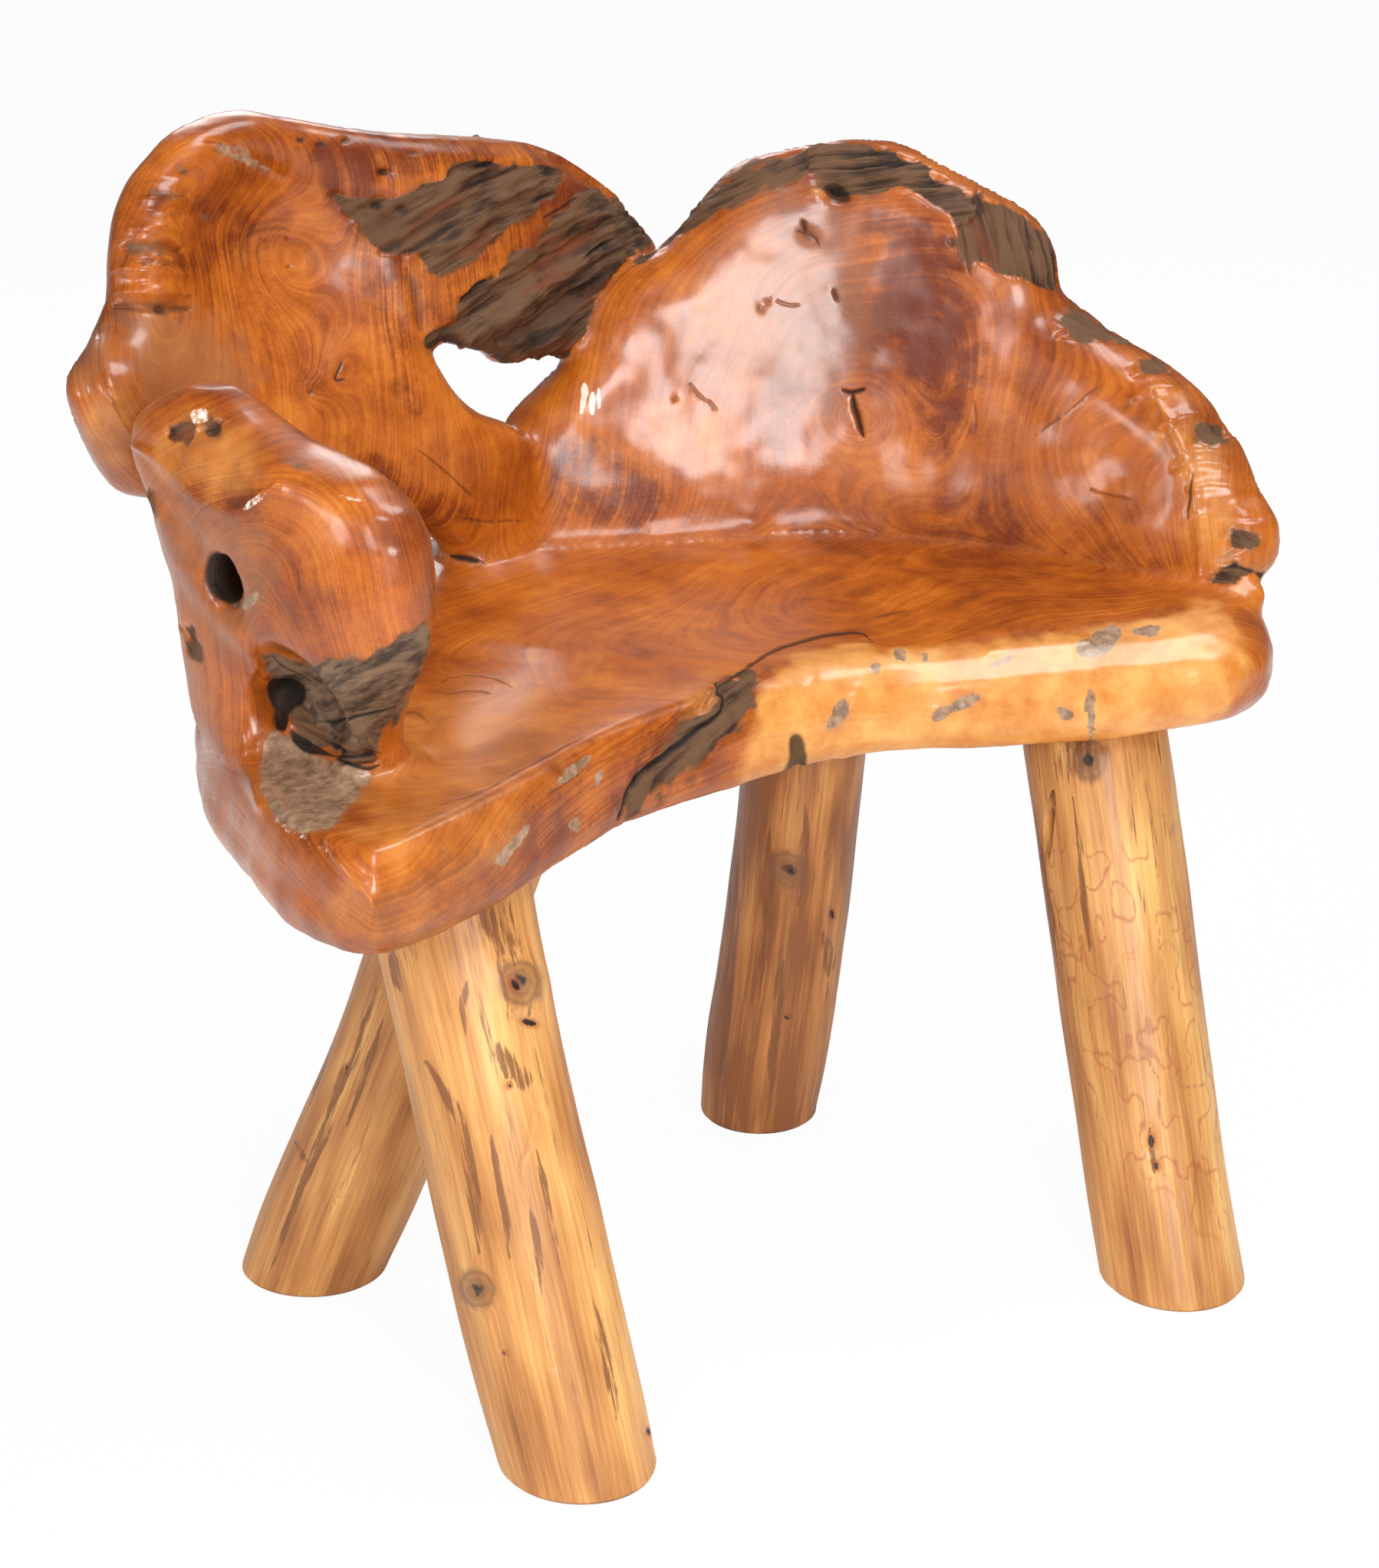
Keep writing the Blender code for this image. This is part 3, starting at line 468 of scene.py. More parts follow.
def inside(pixels, outline):
    """Which pixels lie inside a closed outline, by counting crossings."""
    found = np.zeros(len(pixels), bool)
    for start, end in zip(outline, np.roll(outline, -1, axis=0)):
        if start[1] == end[1]:
            continue
        crosses = (start[1] > pixels[:, 1]) != (end[1] > pixels[:, 1])
        reach = start[0] + (end[0] - start[0]) * (pixels[:, 1] - start[1]) / (end[1] - start[1])
        found ^= crosses & (pixels[:, 0] < reach)
    return found


print("curved corner", curved((0, 0, 16, 0, 16, 16)).tolist())

# %% [markdown]
# A mark lies on the root that it belongs to, and only where that root faces the camera. The
# distance from a point's pixel to the outline, shaken by noise, gives a mask with a ragged edge.
# %% Masks on the wood
SHAKE_SIZE, SHAKE_SEED = 0.012, 5
STROKE_WOBBLE = 2.0


class View:
    """The points of a mesh as the camera sees them, for drawing masks on them."""

    def __init__(self, points, normals):
        self.points = points
        self.pixels = to_photo(points)
        self.facing = ease(facing_of(points, normals), -0.05, 0.15)
        self.shake = noise(points, SHAKE_SIZE, SHAKE_SEED, 2)

    def near(self, shape, margin):
        low = shape.min(axis=0) - margin
        high = shape.max(axis=0) + margin
        return np.flatnonzero(np.all((self.pixels > low) & (self.pixels < high), axis=1)
                              & (self.facing > 0))

    def patch(self, outline, soft=9, ragged=12):
        """1 inside an outline: distance to it, shaken by up to ragged pixels, eased over soft."""
        outline = curved(outline, True)
        mask = np.zeros(len(self.points))
        some = self.near(outline, soft + ragged)
        pixels = self.pixels[some]
        gap = line_distance(pixels, outline)
        gap = np.where(inside(pixels, outline), gap, -gap) + ragged * self.shake[some]
        mask[some] = ease(gap, -soft, soft) * self.facing[some]
        return mask

    def spot(self, centre, radius, stretch=1.0, turn=0.0, through=False):
        """A bell-shaped spot: stretch makes it longer along a direction turned from +x. With
        through, it is also put on what lies behind."""
        centre = np.array(centre, float)
        away = self.pixels - centre
        cos, sin = math.cos(math.radians(turn)), math.sin(math.radians(turn))
        along = (away[:, 0] * cos + away[:, 1] * sin) / stretch
        across = away[:, 1] * cos - away[:, 0] * sin
        return bump_at(np.hypot(along, across), radius) * (1 if through else self.facing)

    def stroke(self, line, width):
        """1 along a line, falling to 0 at its width, in pixels, and thinner towards its ends."""
        line = curved(line)
        mask = np.zeros(len(self.points))
        some = self.near(line, width)
        pixels = self.pixels[some] + STROKE_WOBBLE * self.shake[some, None]
        ends = np.minimum(*(norm(pixels - end, axis=1) for end in line[[0, -1]]))
        span = norm(line[-1] - line[0])
        taper = 0.35 + 0.65 * ease(ends, 0, 0.3 * span)
        gap = line_distance(pixels, line) / (width * taper)
        mask[some] = np.clip(1 - gap, 0, 1) * self.facing[some]
        return mask


print("skin points that face the camera", int((faces_camera > 0.5).sum()))

# %% [markdown]
# Bark is what the carver left of the root's outside. Each entry names the root, the direction in
# which the bark's ridges run in the picture, in degrees, and the outline.
# %% Where the bark is
BACK, WING, ARM, SEAT, ANY = "back_root", "wing_root", "arm_root", "seat_slab", "any"
BARK_OUTLINES = (
    (BACK, -26, (822, 344, 860, 306, 905, 272, 945, 235, 985, 220, 1030, 206, 1062, 196, 1060, 236,
        1020, 239, 970, 262, 930, 286, 885, 306, 846, 340)),
    (BACK, -6, (1040, 203, 1080, 190, 1140, 190, 1170, 203, 1225, 234, 1262, 254, 1290, 268,
        1262, 300, 1244, 296, 1238, 274, 1216, 260, 1170, 250, 1140, 245, 1100, 258, 1056, 238)),
    (BACK, 76, (1250, 252, 1300, 266, 1340, 282, 1368, 310, 1380, 340, 1386, 382, 1350, 368,
        1300, 352, 1276, 340, 1266, 364, 1256, 336, 1246, 290)),
    (BACK, 24, (1378, 414, 1404, 406, 1436, 418, 1487, 446, 1460, 448, 1392, 444)),
    (BACK, 24, (1474, 478, 1500, 462, 1528, 484, 1492, 490)),
    (BACK, 40, (1552, 562, 1580, 552, 1600, 576, 1570, 582)),
    (BACK, 40, (1603, 700, 1622, 688, 1642, 706, 1612, 718)),
    (BACK, 15, (1560, 760, 1590, 738, 1616, 734, 1656, 760, 1662, 795, 1610, 778)),
    (WING, -32, (424, 246, 458, 262, 498, 264, 528, 254, 558, 239, 597, 210, 627, 205, 667, 212,
        712, 210, 742, 225, 734, 246, 712, 274, 672, 289, 642, 329, 607, 344, 587, 359, 558, 349,
        528, 331, 493, 326, 458, 286)),
    (WING, -36, (770, 232, 812, 246, 862, 286, 856, 318, 836, 338, 800, 306)),
    (WING, -36, (777, 252, 800, 262, 848, 292, 838, 334, 790, 366, 772, 399, 762, 429, 749, 460,
        722, 486, 707, 470, 677, 474, 667, 480, 642, 462, 622, 457, 607, 444, 587, 446, 573, 450,
        553, 460, 550, 438, 578, 429, 600, 420, 590, 396, 614, 374, 634, 360, 670, 336, 702, 316,
        730, 290, 747, 272, 767, 249)),
    (SEAT, -40, (934, 893, 950, 880, 982, 870, 982, 918, 979, 932, 950, 962, 911, 993, 866, 1024,
        835, 1046, 804, 1072, 800, 1056, 828, 1006, 875, 968, 915, 932, 936, 916, 930, 900)),
    (ANY, 25, (376, 930, 388, 921, 403, 926, 415, 940, 432, 957, 459, 969, 497, 976, 471, 984,
        437, 980, 413, 966, 393, 959, 377, 949)),
    (ANY, -15, (437, 986, 466, 984, 492, 980, 495, 988, 480, 1000, 461, 997)),
    (ARM, -20, (212, 560, 232, 548, 250, 556, 262, 562, 252, 574, 222, 584)),
    (ARM, -20, (252, 566, 270, 556, 286, 546, 290, 556, 268, 574)),
    (ANY, 60, (236, 812, 250, 822, 262, 846, 262, 868, 248, 860, 238, 836)),
    (ARM, 60, (186, 634, 198, 645, 206, 676, 200, 690, 190, 670)),
)
print("bark outlines", len(BARK_OUTLINES))

# %% [markdown]
# Cracks, pores and dark lines are strokes that are thinner towards their ends. Some dark lines are
# painted shade: in the valleys between the wing's ribs, and along the seat's bark slot. Each entry
# names the root, the width in pixels, the depth in millimetres, how black it is, and the line.
# %% Where the cracks and painted shade lines are
CRACKS_AND_SHADE_LINES = (
    (BACK, 4, 1.6, 1.0, (1098, 508, 1112, 514, 1133, 506)),
    (BACK, 6, 2.0, 1.0, (1113, 512, 1114, 528, 1119, 545, 1122, 558, 1127, 571)),
    (BACK, 2, 0.15, 0.5, (1333, 579, 1362, 560, 1400, 533, 1424, 512, 1444, 494)),
    (BACK, 2, 0.3, 0.5, (1408, 636, 1444, 644, 1487, 654)),
    (BACK, 3, 0.6, 0.8, (1556, 617, 1554, 640, 1548, 684)),
    (BACK, 3, 0.4, 0.45, (898, 496, 908, 512, 922, 524)),
    (BACK, 3, 0.4, 0.4, (922, 520, 936, 536)),
    # Painted shade in the valleys between the wing's ribs: this line and the next two.
    (WING, 9, 0.5, 0.32, (150, 402, 190, 400, 247, 404)),
    (WING, 13, 0.5, 0.28, (163, 322, 196, 318, 232, 326)),
    (WING, 5, 0.4, 0.28, (176, 343, 210, 340, 246, 348)),
    (BACK, 4, 1.2, 0.8, (1046, 286, 1049, 296, 1051, 304)),
    (BACK, 4, 1.0, 0.8, (1087, 378, 1092, 392)),
    (BACK, 3, 0.8, 0.7, (1040, 300, 1062, 308, 1068, 320)),
    (BACK, 3, 0.4, 0.35, (1004, 388, 1030, 400, 1048, 396)),
    (BACK, 3, 0.4, 0.4, (1270, 520, 1274, 545, 1272, 570)),
    (WING, 2, 0.4, 0.6, (538, 583, 560, 598, 582, 616, 606, 640, 626, 657)),
    (WING, 2, 0.3, 0.6, (704, 612, 712, 640, 708, 668, 690, 676)),
    (WING, 3, 0.3, 0.5, (590, 674, 640, 680, 690, 678)),
    (WING, 6, 1.5, 1.0, (588, 726, 604, 728, 630, 733)),
    (WING, 3, 0.8, 0.9, (444, 470, 438, 484, 435, 499, 448, 494)),
    (WING, 5, 0.2, 0.35, (318, 352, 312, 334, 314, 316, 330, 302, 352, 294, 384, 300)),
    (WING, 4, 0.2, 0.3, (340, 350, 334, 330, 342, 314, 360, 306, 384, 312)),
    (WING, 4, 0.2, 0.25, (300, 350, 303, 322, 318, 300, 346, 286, 380, 284)),
    (WING, 3, 0.8, 0.9, (760, 256, 744, 266, 724, 280, 706, 286)),
    (WING, 12, 0.8, 0.45, (530, 352, 540, 386, 548, 430)),
    (WING, 3, 0.5, 0.3, (146, 404, 134, 430, 128, 462, 134, 500, 152, 534, 170, 566)),
    (ARM, 2, 0.3, 0.5, (388, 744, 392, 760, 391, 778)),
    (ARM, 3, 1.4, 1.0, (413, 940, 442, 941, 471, 932, 495, 926, 515, 921)),
    (ANY, 4, 1.6, 1.0, (437, 988, 454, 996, 483, 1002, 497, 996)),
    (ARM, 2, 0.6, 0.8, (352, 852, 368, 868, 388, 880, 410, 893)),
    (SEAT, 4, 0.8, 0.85, (1141, 842, 1126, 823, 1080, 827, 1042, 838, 1003, 850, 978, 868, 950, 884,
        934, 896)),
    # Painted shadow along the upper side of the seat's bark slot.
    (SEAT, 5, 1.6, 1.0, (932, 890, 948, 922, 911, 952, 873, 982, 843, 1006, 812, 1038, 801, 1064)),
    (SEAT, 2, 0.3, 0.45, (924, 912, 880, 936, 830, 966, 780, 998, 730, 1026, 690, 1052, 640, 1082)),
    (SEAT, 2, 0.2, 0.4, (560, 1050, 600, 1042, 650, 1020, 720, 980, 790, 944)),
    (SEAT, 2, 0.2, 0.45, (560, 894, 590, 882, 624, 880, 656, 888, 676, 902)),
    (SEAT, 2, 0.2, 0.45, (580, 906, 604, 900, 632, 900, 654, 910)),
    (SEAT, 3, 0.2, 0.5, (516, 934, 532, 926, 548, 930, 560, 944)),
    (SEAT, 3, 0.2, 0.5, (1130, 806, 1160, 800, 1186, 796)),
)
print("cracks", len(CRACKS_AND_SHADE_LINES))

# %% [markdown]
# The carver left raised and sunk lines too: rims, creases and furrows. Each entry names the root,
# the width in pixels, the rise in millimetres, and the line. PUSHES are broad places that stand a
# few millimetres higher or lower than the solids: root, centre, radius in pixels, millimetres.
# %% Where the wood rises and sinks
RIDGES = (
    (ANY, 30, 4.0, (330, 868, 320, 900, 320, 940, 326, 990, 340, 1050)),
    (ARM, 26, 2.6, (193, 649, 214, 690, 237, 730, 262, 764, 290, 800, 323, 845, 345, 880)),
    (ARM, 20, 2.4, (174, 581, 213, 604, 259, 652, 298, 668, 321, 660, 362, 632)),
    (ARM, 34, -3.0, (250, 700, 262, 730, 290, 770, 310, 800)),
    (ARM, 12, 3.6, (379, 938, 405, 944, 432, 966, 470, 976, 495, 977)),
    (ARM, 10, 2.4, (445, 991, 470, 990, 490, 986)),
    (ARM, 12, 1.8, (350, 1056, 380, 1082, 410, 1096, 440, 1110)),
    (SEAT, 13, 2.6, (424, 1096, 440, 1120, 456, 1144, 476, 1170, 496, 1194)),
    (SEAT, 30, 1.6, (1290, 850, 1350, 838, 1420, 838)),
    (SEAT, 16, -3.0, (925, 900, 900, 945, 860, 985, 820, 1030)),
    (SEAT, 14, -1.8, (1034, 964, 1036, 986, 1038, 1010)),
    (SEAT, 18, 1.2, (1060, 880, 1052, 930, 1046, 990)),
    (SEAT, 18, 1.2, (1118, 896, 1112, 950, 1090, 1000)),
    (WING, 12, 3.0, (152, 382, 190, 379, 246, 383)),
    (WING, 12, -2.6, (150, 402, 190, 400, 247, 404)),
    (WING, 14, 2.4, (150, 352, 200, 350, 243, 358)),
    (WING, 14, -2.4, (160, 325, 200, 322, 235, 328)),
    (WING, 10, 2.0, (172, 300, 210, 296, 236, 300)),
    (WING, 12, -1.6, (176, 276, 210, 272, 250, 280)),
    (WING, 12, 1.4, (186, 262, 214, 256, 250, 262)),
    (WING, 14, -1.6, (190, 236, 220, 226, 262, 236)),
    (WING, 16, -1.6, (270, 186, 310, 196, 366, 228)),
    (WING, 24, 2.4, (144, 404, 132, 436, 128, 470, 136, 504, 156, 536, 172, 570)),
    (WING, 20, -2.4, (110, 430, 104, 470, 112, 510, 136, 550)),
    (WING, 22, -5.0, (560, 440, 600, 424, 650, 388, 700, 352, 750, 316, 800, 290)),
    (WING, 20, 4.0, (600, 446, 650, 420, 700, 384, 752, 348, 810, 318)),
    (WING, 18, -6.0, (650, 446, 690, 430, 726, 404, 768, 372)),
    (WING, 16, 4.0, (700, 462, 730, 436, 758, 410)),
    (WING, 20, -3.0, (470, 272, 520, 300, 560, 300, 600, 270, 650, 238)),
    (WING, 16, 2.6, (520, 322, 570, 326, 620, 296, 670, 256, 716, 232)),
    (WING, 18, 1.0, (452, 240, 480, 290, 512, 340, 528, 400, 544, 450)),
    (BACK, 14, 2.0, (1478, 520, 1500, 508, 1530, 510)),
    (BACK, 14, 2.0, (1510, 560, 1536, 544, 1566, 544)),
    (BACK, 14, -1.8, (1530, 610, 1560, 600, 1604, 606)),
    (BACK, 16, 2.0, (1550, 640, 1584, 632, 1630, 640)),
    (BACK, 14, -1.8, (1560, 676, 1594, 670, 1640, 676)),
    (BACK, 34, 0.8, (850, 690, 927, 682, 1000, 680, 1060, 686, 1130, 694)),
    (BACK, 14, 2.0, (1499, 514, 1530, 560, 1556, 620, 1566, 690, 1562, 750)),
    (BACK, 16, -2.6, (1380, 440, 1420, 430, 1462, 446)),
    (BACK, 14, -2.6, (1476, 490, 1500, 478, 1524, 486)),
    (BACK, 14, -2.6, (1556, 580, 1576, 566, 1598, 572)),
    (BACK, 14, -2.6, (1600, 720, 1620, 702, 1642, 702)),
    (BACK, 16, -2.4, (1570, 772, 1600, 756, 1650, 764)),
    (WING, 34, -5.0, (690, 182, 745, 202, 790, 235, 832, 262)),
    (BACK, 12, 1.4, (900, 280, 960, 246, 1010, 226, 1060, 230)),
)
PUSHES = (
    (ARM, (200, 660), 80, -3.0), (ANY, (244, 900), 90, -4.0), (ANY, (256, 990), 70, -3.5),
    (SEAT, (400, 1215), 75, -5.5), (SEAT, (300, 1100), 70, 3.5), (WING, (210, 190), 110, 2.5),
    (WING, (760, 240), 110, -4.5), (BACK, (1290, 260), 130, 2.5), (SEAT, (1220, 880), 60, -2.4),
    (SEAT, (1500, 850), 60, -2.4), (SEAT, (1130, 900), 40, 2.0), (SEAT, (1590, 880), 40, 2.0),
    (BACK, (1560, 500), 130, 2.5), (BACK, (1625, 590), 80, 2.0), (BACK, (910, 260), 90, 1.5),
)
print("lines", len(RIDGES), "broad places", len(PUSHES))

# %% [markdown]
# Holes and dents are bell-shaped spots. Each entry names the root, the centre, the radius, how much
# longer than wide it is, its turn in degrees, the depth in millimetres and how black it is. The
# blackness is painted shade inside the hole.
# %% Where the holes are
HOLES = (
    (ARM, (370, 908), 20, 1.3, -20, 14.0, 1.0), (ARM, (362, 938), 10, 1.4, 80, 8.0, 1.0),
    (BACK, (1090, 248), 11, 1.4, 20, 9.0, 1.0), (BACK, (1066, 254), 9, 1.6, 0, -2.0, 0.0),
    (WING, (500, 225), 6, 1.6, 0, 5.0, 0.9), (WING, (524, 273), 7, 1.6, 10, 3.0, 0.7),
    (WING, (491, 269), 7, 1.4, 0, 3.0, 0.8), (WING, (211, 404), 9, 1.6, 0, 3.0, 0.7),
    (WING, (391, 183), 5, 1.6, 0, 1.4, 0.8), (WING, (416, 188), 5, 2.0, 0, 1.2, 0.7),
    (WING, (449, 184), 6, 1.4, -20, 1.4, 0.7), (WING, (540, 200), 5, 2.4, 0, 1.0, 0.5),
    (WING, (373, 311), 4, 1.0, 0, 1.2, 0.6), (WING, (375, 347), 4, 1.0, 0, 1.2, 0.6),
    (WING, (403, 512), 5, 1.0, 0, 1.2, 0.5), (BACK, (979, 678), 17, 1.4, 20, 2.0, 0.0),
    (BACK, (1054, 306), 9, 1.4, 40, 1.4, 0.4), (BACK, (1190, 660), 30, 1.4, 30, 0.8, 0.0),
    (BACK, (880, 520), 4, 1.6, -50, 0.8, 0.5), (BACK, (992, 402), 5, 1.6, 60, 0.8, 0.35),
    (BACK, (1000, 394), 4, 1.4, 0, 0.8, 0.35), (BACK, (1300, 640), 30, 1.6, 0, 0.8, 0.0),
    (BACK, (940, 560), 34, 1.6, 30, 0.9, 0.0), (BACK, (860, 600), 34, 1.6, 30, 0.9, 0.0),
    (BACK, (1060, 620), 34, 1.6, -20, 0.8, 0.0), (ARM, (310, 655), 9, 1.8, 10, 1.2, 0.3),
    (ARM, (268, 545), 8, 1.0, 0, 2.4, 0.0), (SEAT, (1360, 880), 30, 2.0, 0, -0.8, 0.0),
)
print("holes", len(HOLES))

# %% [markdown]
# Each kind of mark becomes one mask, the most that any of its entries gives, and each rise and fall
# is added up in metres. The knot hole runs through the solid, so only painted shade is added inside
# it, between two distances from its axis.
# %% The masks of all marks
KNOT_HOLE = np.array([(-0.412, -0.017, 0.5447), (-0.318, -0.003, 0.5447)])
KNOT_HOLE_SHADE = (0.0135, 0.0180)
OWN_TURN = math.radians(70)
HALO_SOFT, HALO_RAGGED = 34, 26
CRACK_AND_SHADE_GAIN = 1.3


def masks_of(view, owners):
    """Bark, cracks and holes, with the painted shade in holes, valleys and the knot hole, on
    points whose owners are known. The halo is a wider, softer bark mask, for the stain in the
    wood round it, and turn is the direction of the bark's ridges in the picture."""
    count = len(view.points)
    bark, halo, crack, groove, pit = (np.zeros(count) for _ in range(5))
    turn = np.full(count, OWN_TURN)
    for root, degrees, outline in BARK_OUTLINES:
        mask = view.patch(outline) * owners[root]
        turn = np.where(mask > bark, math.radians(degrees), turn)
        bark = np.maximum(bark, mask)
        halo = np.maximum(halo, view.patch(outline, HALO_SOFT, HALO_RAGGED) * owners[root])
    for root, width, depth, blackness, line in CRACKS_AND_SHADE_LINES:
        mask = view.stroke(line, width) * owners[root]
        crack = np.maximum(crack, np.minimum(1, CRACK_AND_SHADE_GAIN * mask) * blackness)
        groove = np.maximum(groove, mask * depth / 1000)
    for root, centre, radius, stretch, degrees, depth, blackness in HOLES:
        mask = view.spot(centre, radius, stretch, degrees) * owners[root]
        pit += mask * depth / 1000
        # Painted shade inside each hole.
        crack = np.maximum(crack, ease(mask, 0.3, 0.9) * blackness)
    start, end = KNOT_HOLE[0] + slide, KNOT_HOLE[1]
    axis = (end - start) / norm(end - start)
    away = view.points - start
    away = norm(away - (away @ axis)[:, None] * axis, axis=1)
    # Painted shade inside the knot hole.
    crack = np.maximum(crack, (1 - ease(away, *KNOT_HOLE_SHADE)) * owners[ARM])
    return bark, halo, turn, crack, groove, pit


def lines_of(view, owners):
    """Raised and sunk lines of the carving, with a rounded profile, in metres."""
    height = np.zeros(len(view.points))
    for root, width, rise, line in RIDGES:
        height += rise / 1000 * ease(view.stroke(line, width), 0.0, 1.0) * owners[root]
    return height


def ridges_of(view, owners):
    """The lines, and the broad places that the carving left higher or lower, in metres."""
    height = lines_of(view, owners)
    for root, centre, radius, rise in PUSHES:
        height += rise / 1000 * view.spot(centre, radius, through=True) * owners[root]
    return height


def owners_of(mesh):
    """Which root each point belongs to, as numbers from 0 to 1 that add up to 1."""
    owners = {root: read(mesh, root) for root in ROOTS[1:]}
    owners[SEAT] = 1 - sum(owners.values())
    owners[ANY] = np.ones(len(mesh.vertices))
    return owners


print("wood by root", {root: int(owner.sum()) for root, owner in owners_of(skin).items()})

# %% [markdown]
# Fine relief needs small faces, and smooth wood doesn't. So faces are cut in four only where they
# are wanted: each edge with a wanted end is cut in the middle, and the new points are joined.
# %% Cut faces finer
def refined(mesh, wanted):
    """The mesh with each face that touches a wanted point cut in four."""
    shape = bmesh.new()
    shape.from_mesh(mesh)
    first, second = edges_of(mesh).T
    cut = wanted[first] | wanted[second]
    chosen = [edge for edge, keep in zip(shape.edges, cut.tolist()) if keep]
    bmesh.ops.subdivide_edges(shape, edges=chosen, cuts=1, use_grid_fill=True)
    made = bpy.data.meshes.new(mesh.name)
    shape.to_mesh(made)
    shape.free()
    return made


print("skin before refining", len(skin.polygons), "faces")

# %% [markdown]
# A carved surface cuts through the growth rings of the root, which wrap round its pith like the
# layers of an onion. Where a side root began, the rings bulge, and the cut shows an eye. So the
# figure is drawn as the contour lines of one smooth field for each root: the distance from its
# pith, with a hill added for each eye and a little noise. The field is kept in metres, and the
# material turns it into rings. Each eye names the root, the centre, the reach in pixels, the hill's
# height in metres, how much longer than wide it is, and its turn.
# %% Rings
PITHS = {
    BACK: ((1118, 539), (1085, 760), (1080, 1100)),
    WING: ((371, 330), (420, 480), (520, 640), (700, 700)),
    ARM: ((352, 750), (360, 900), (330, 1060)),
}
SEAT_PITH = np.array([-0.42, -0.10, 0.29])
SEAT_GRAIN = np.array([1.0, 0.16, 0.085])
SEAT_OVAL = 0.6
DEPTH_SHARE, PITH_DEPTH = 0.55, 0.03
RING_SWAY, RING_SWAY_SIZE = 0.0055, 0.12
RING_SHAKE, RING_SHAKE_SIZE = 0.0007, 0.035
EYES = (
    (BACK, (1118, 539), 62, 0.012, 0.8, 90), (BACK, (1400, 560), 110, 0.020, 1.5, 60),
    (BACK, (930, 430), 70, 0.010, 1.4, 120), (BACK, (1190, 690), 60, 0.008, 1.5, 20),
    (WING, (371, 330), 50, 0.018, 1.3, 75), (WING, (441, 485), 26, 0.010, 1.4, 100),
    (WING, (403, 509), 20, 0.008, 1.0, 0), (WING, (230, 290), 60, 0.012, 1.6, 10),
    (WING, (690, 650), 40, 0.012, 1.6, 110), (ARM, (352, 750), 70, 0.012, 1.2, 60),
    (ARM, (300, 600), 50, 0.010, 1.6, 20), (SEAT, (624, 897), 34, 0.012, 2.6, -4),
    (SEAT, (543, 934), 18, 0.008, 1.2, 0), (SEAT, (1035, 986), 26, 0.009, 1.3, 0),
    (SEAT, (1290, 770), 60, 0.009, 2.6, -12), (SEAT, (900, 790), 60, 0.008, 2.6, 8),
    (SEAT, (640, 1130), 30, 0.008, 1.8, -30), (SEAT, (1614, 878), 40, 0.014, 1.2, 60),
)


def ring_field(view, owners):
    """Distance from the pith, plus hills at the eyes, plus noise: in metres."""
    points, pixels = view.points, view.pixels
    depth = (points - CAMERA_TARGET) @ sight
    field = np.zeros(len(points))
    for root, line in PITHS.items():
        away = line_distance(pixels, np.array(line, float)) / PIXELS_PER_METRE
        field += owners[root] * np.hypot(away, DEPTH_SHARE * depth + PITH_DEPTH)
    grain = SEAT_GRAIN / norm(SEAT_GRAIN)
    offset = points - SEAT_PITH
    offset = offset - (offset @ grain)[:, None] * grain
    field += owners[SEAT] * np.hypot(SEAT_OVAL * offset[:, 1], offset[:, 2])
    for root, centre, reach, height, stretch, degrees in EYES:
        field += owners[root] * height * view.spot(centre, reach, stretch, degrees)
    field += RING_SWAY * noise(points, RING_SWAY_SIZE, 21)
    field += RING_SHAKE * noise(points, RING_SHAKE_SIZE, 22, 2)
    return field


print("eyes", len(EYES))
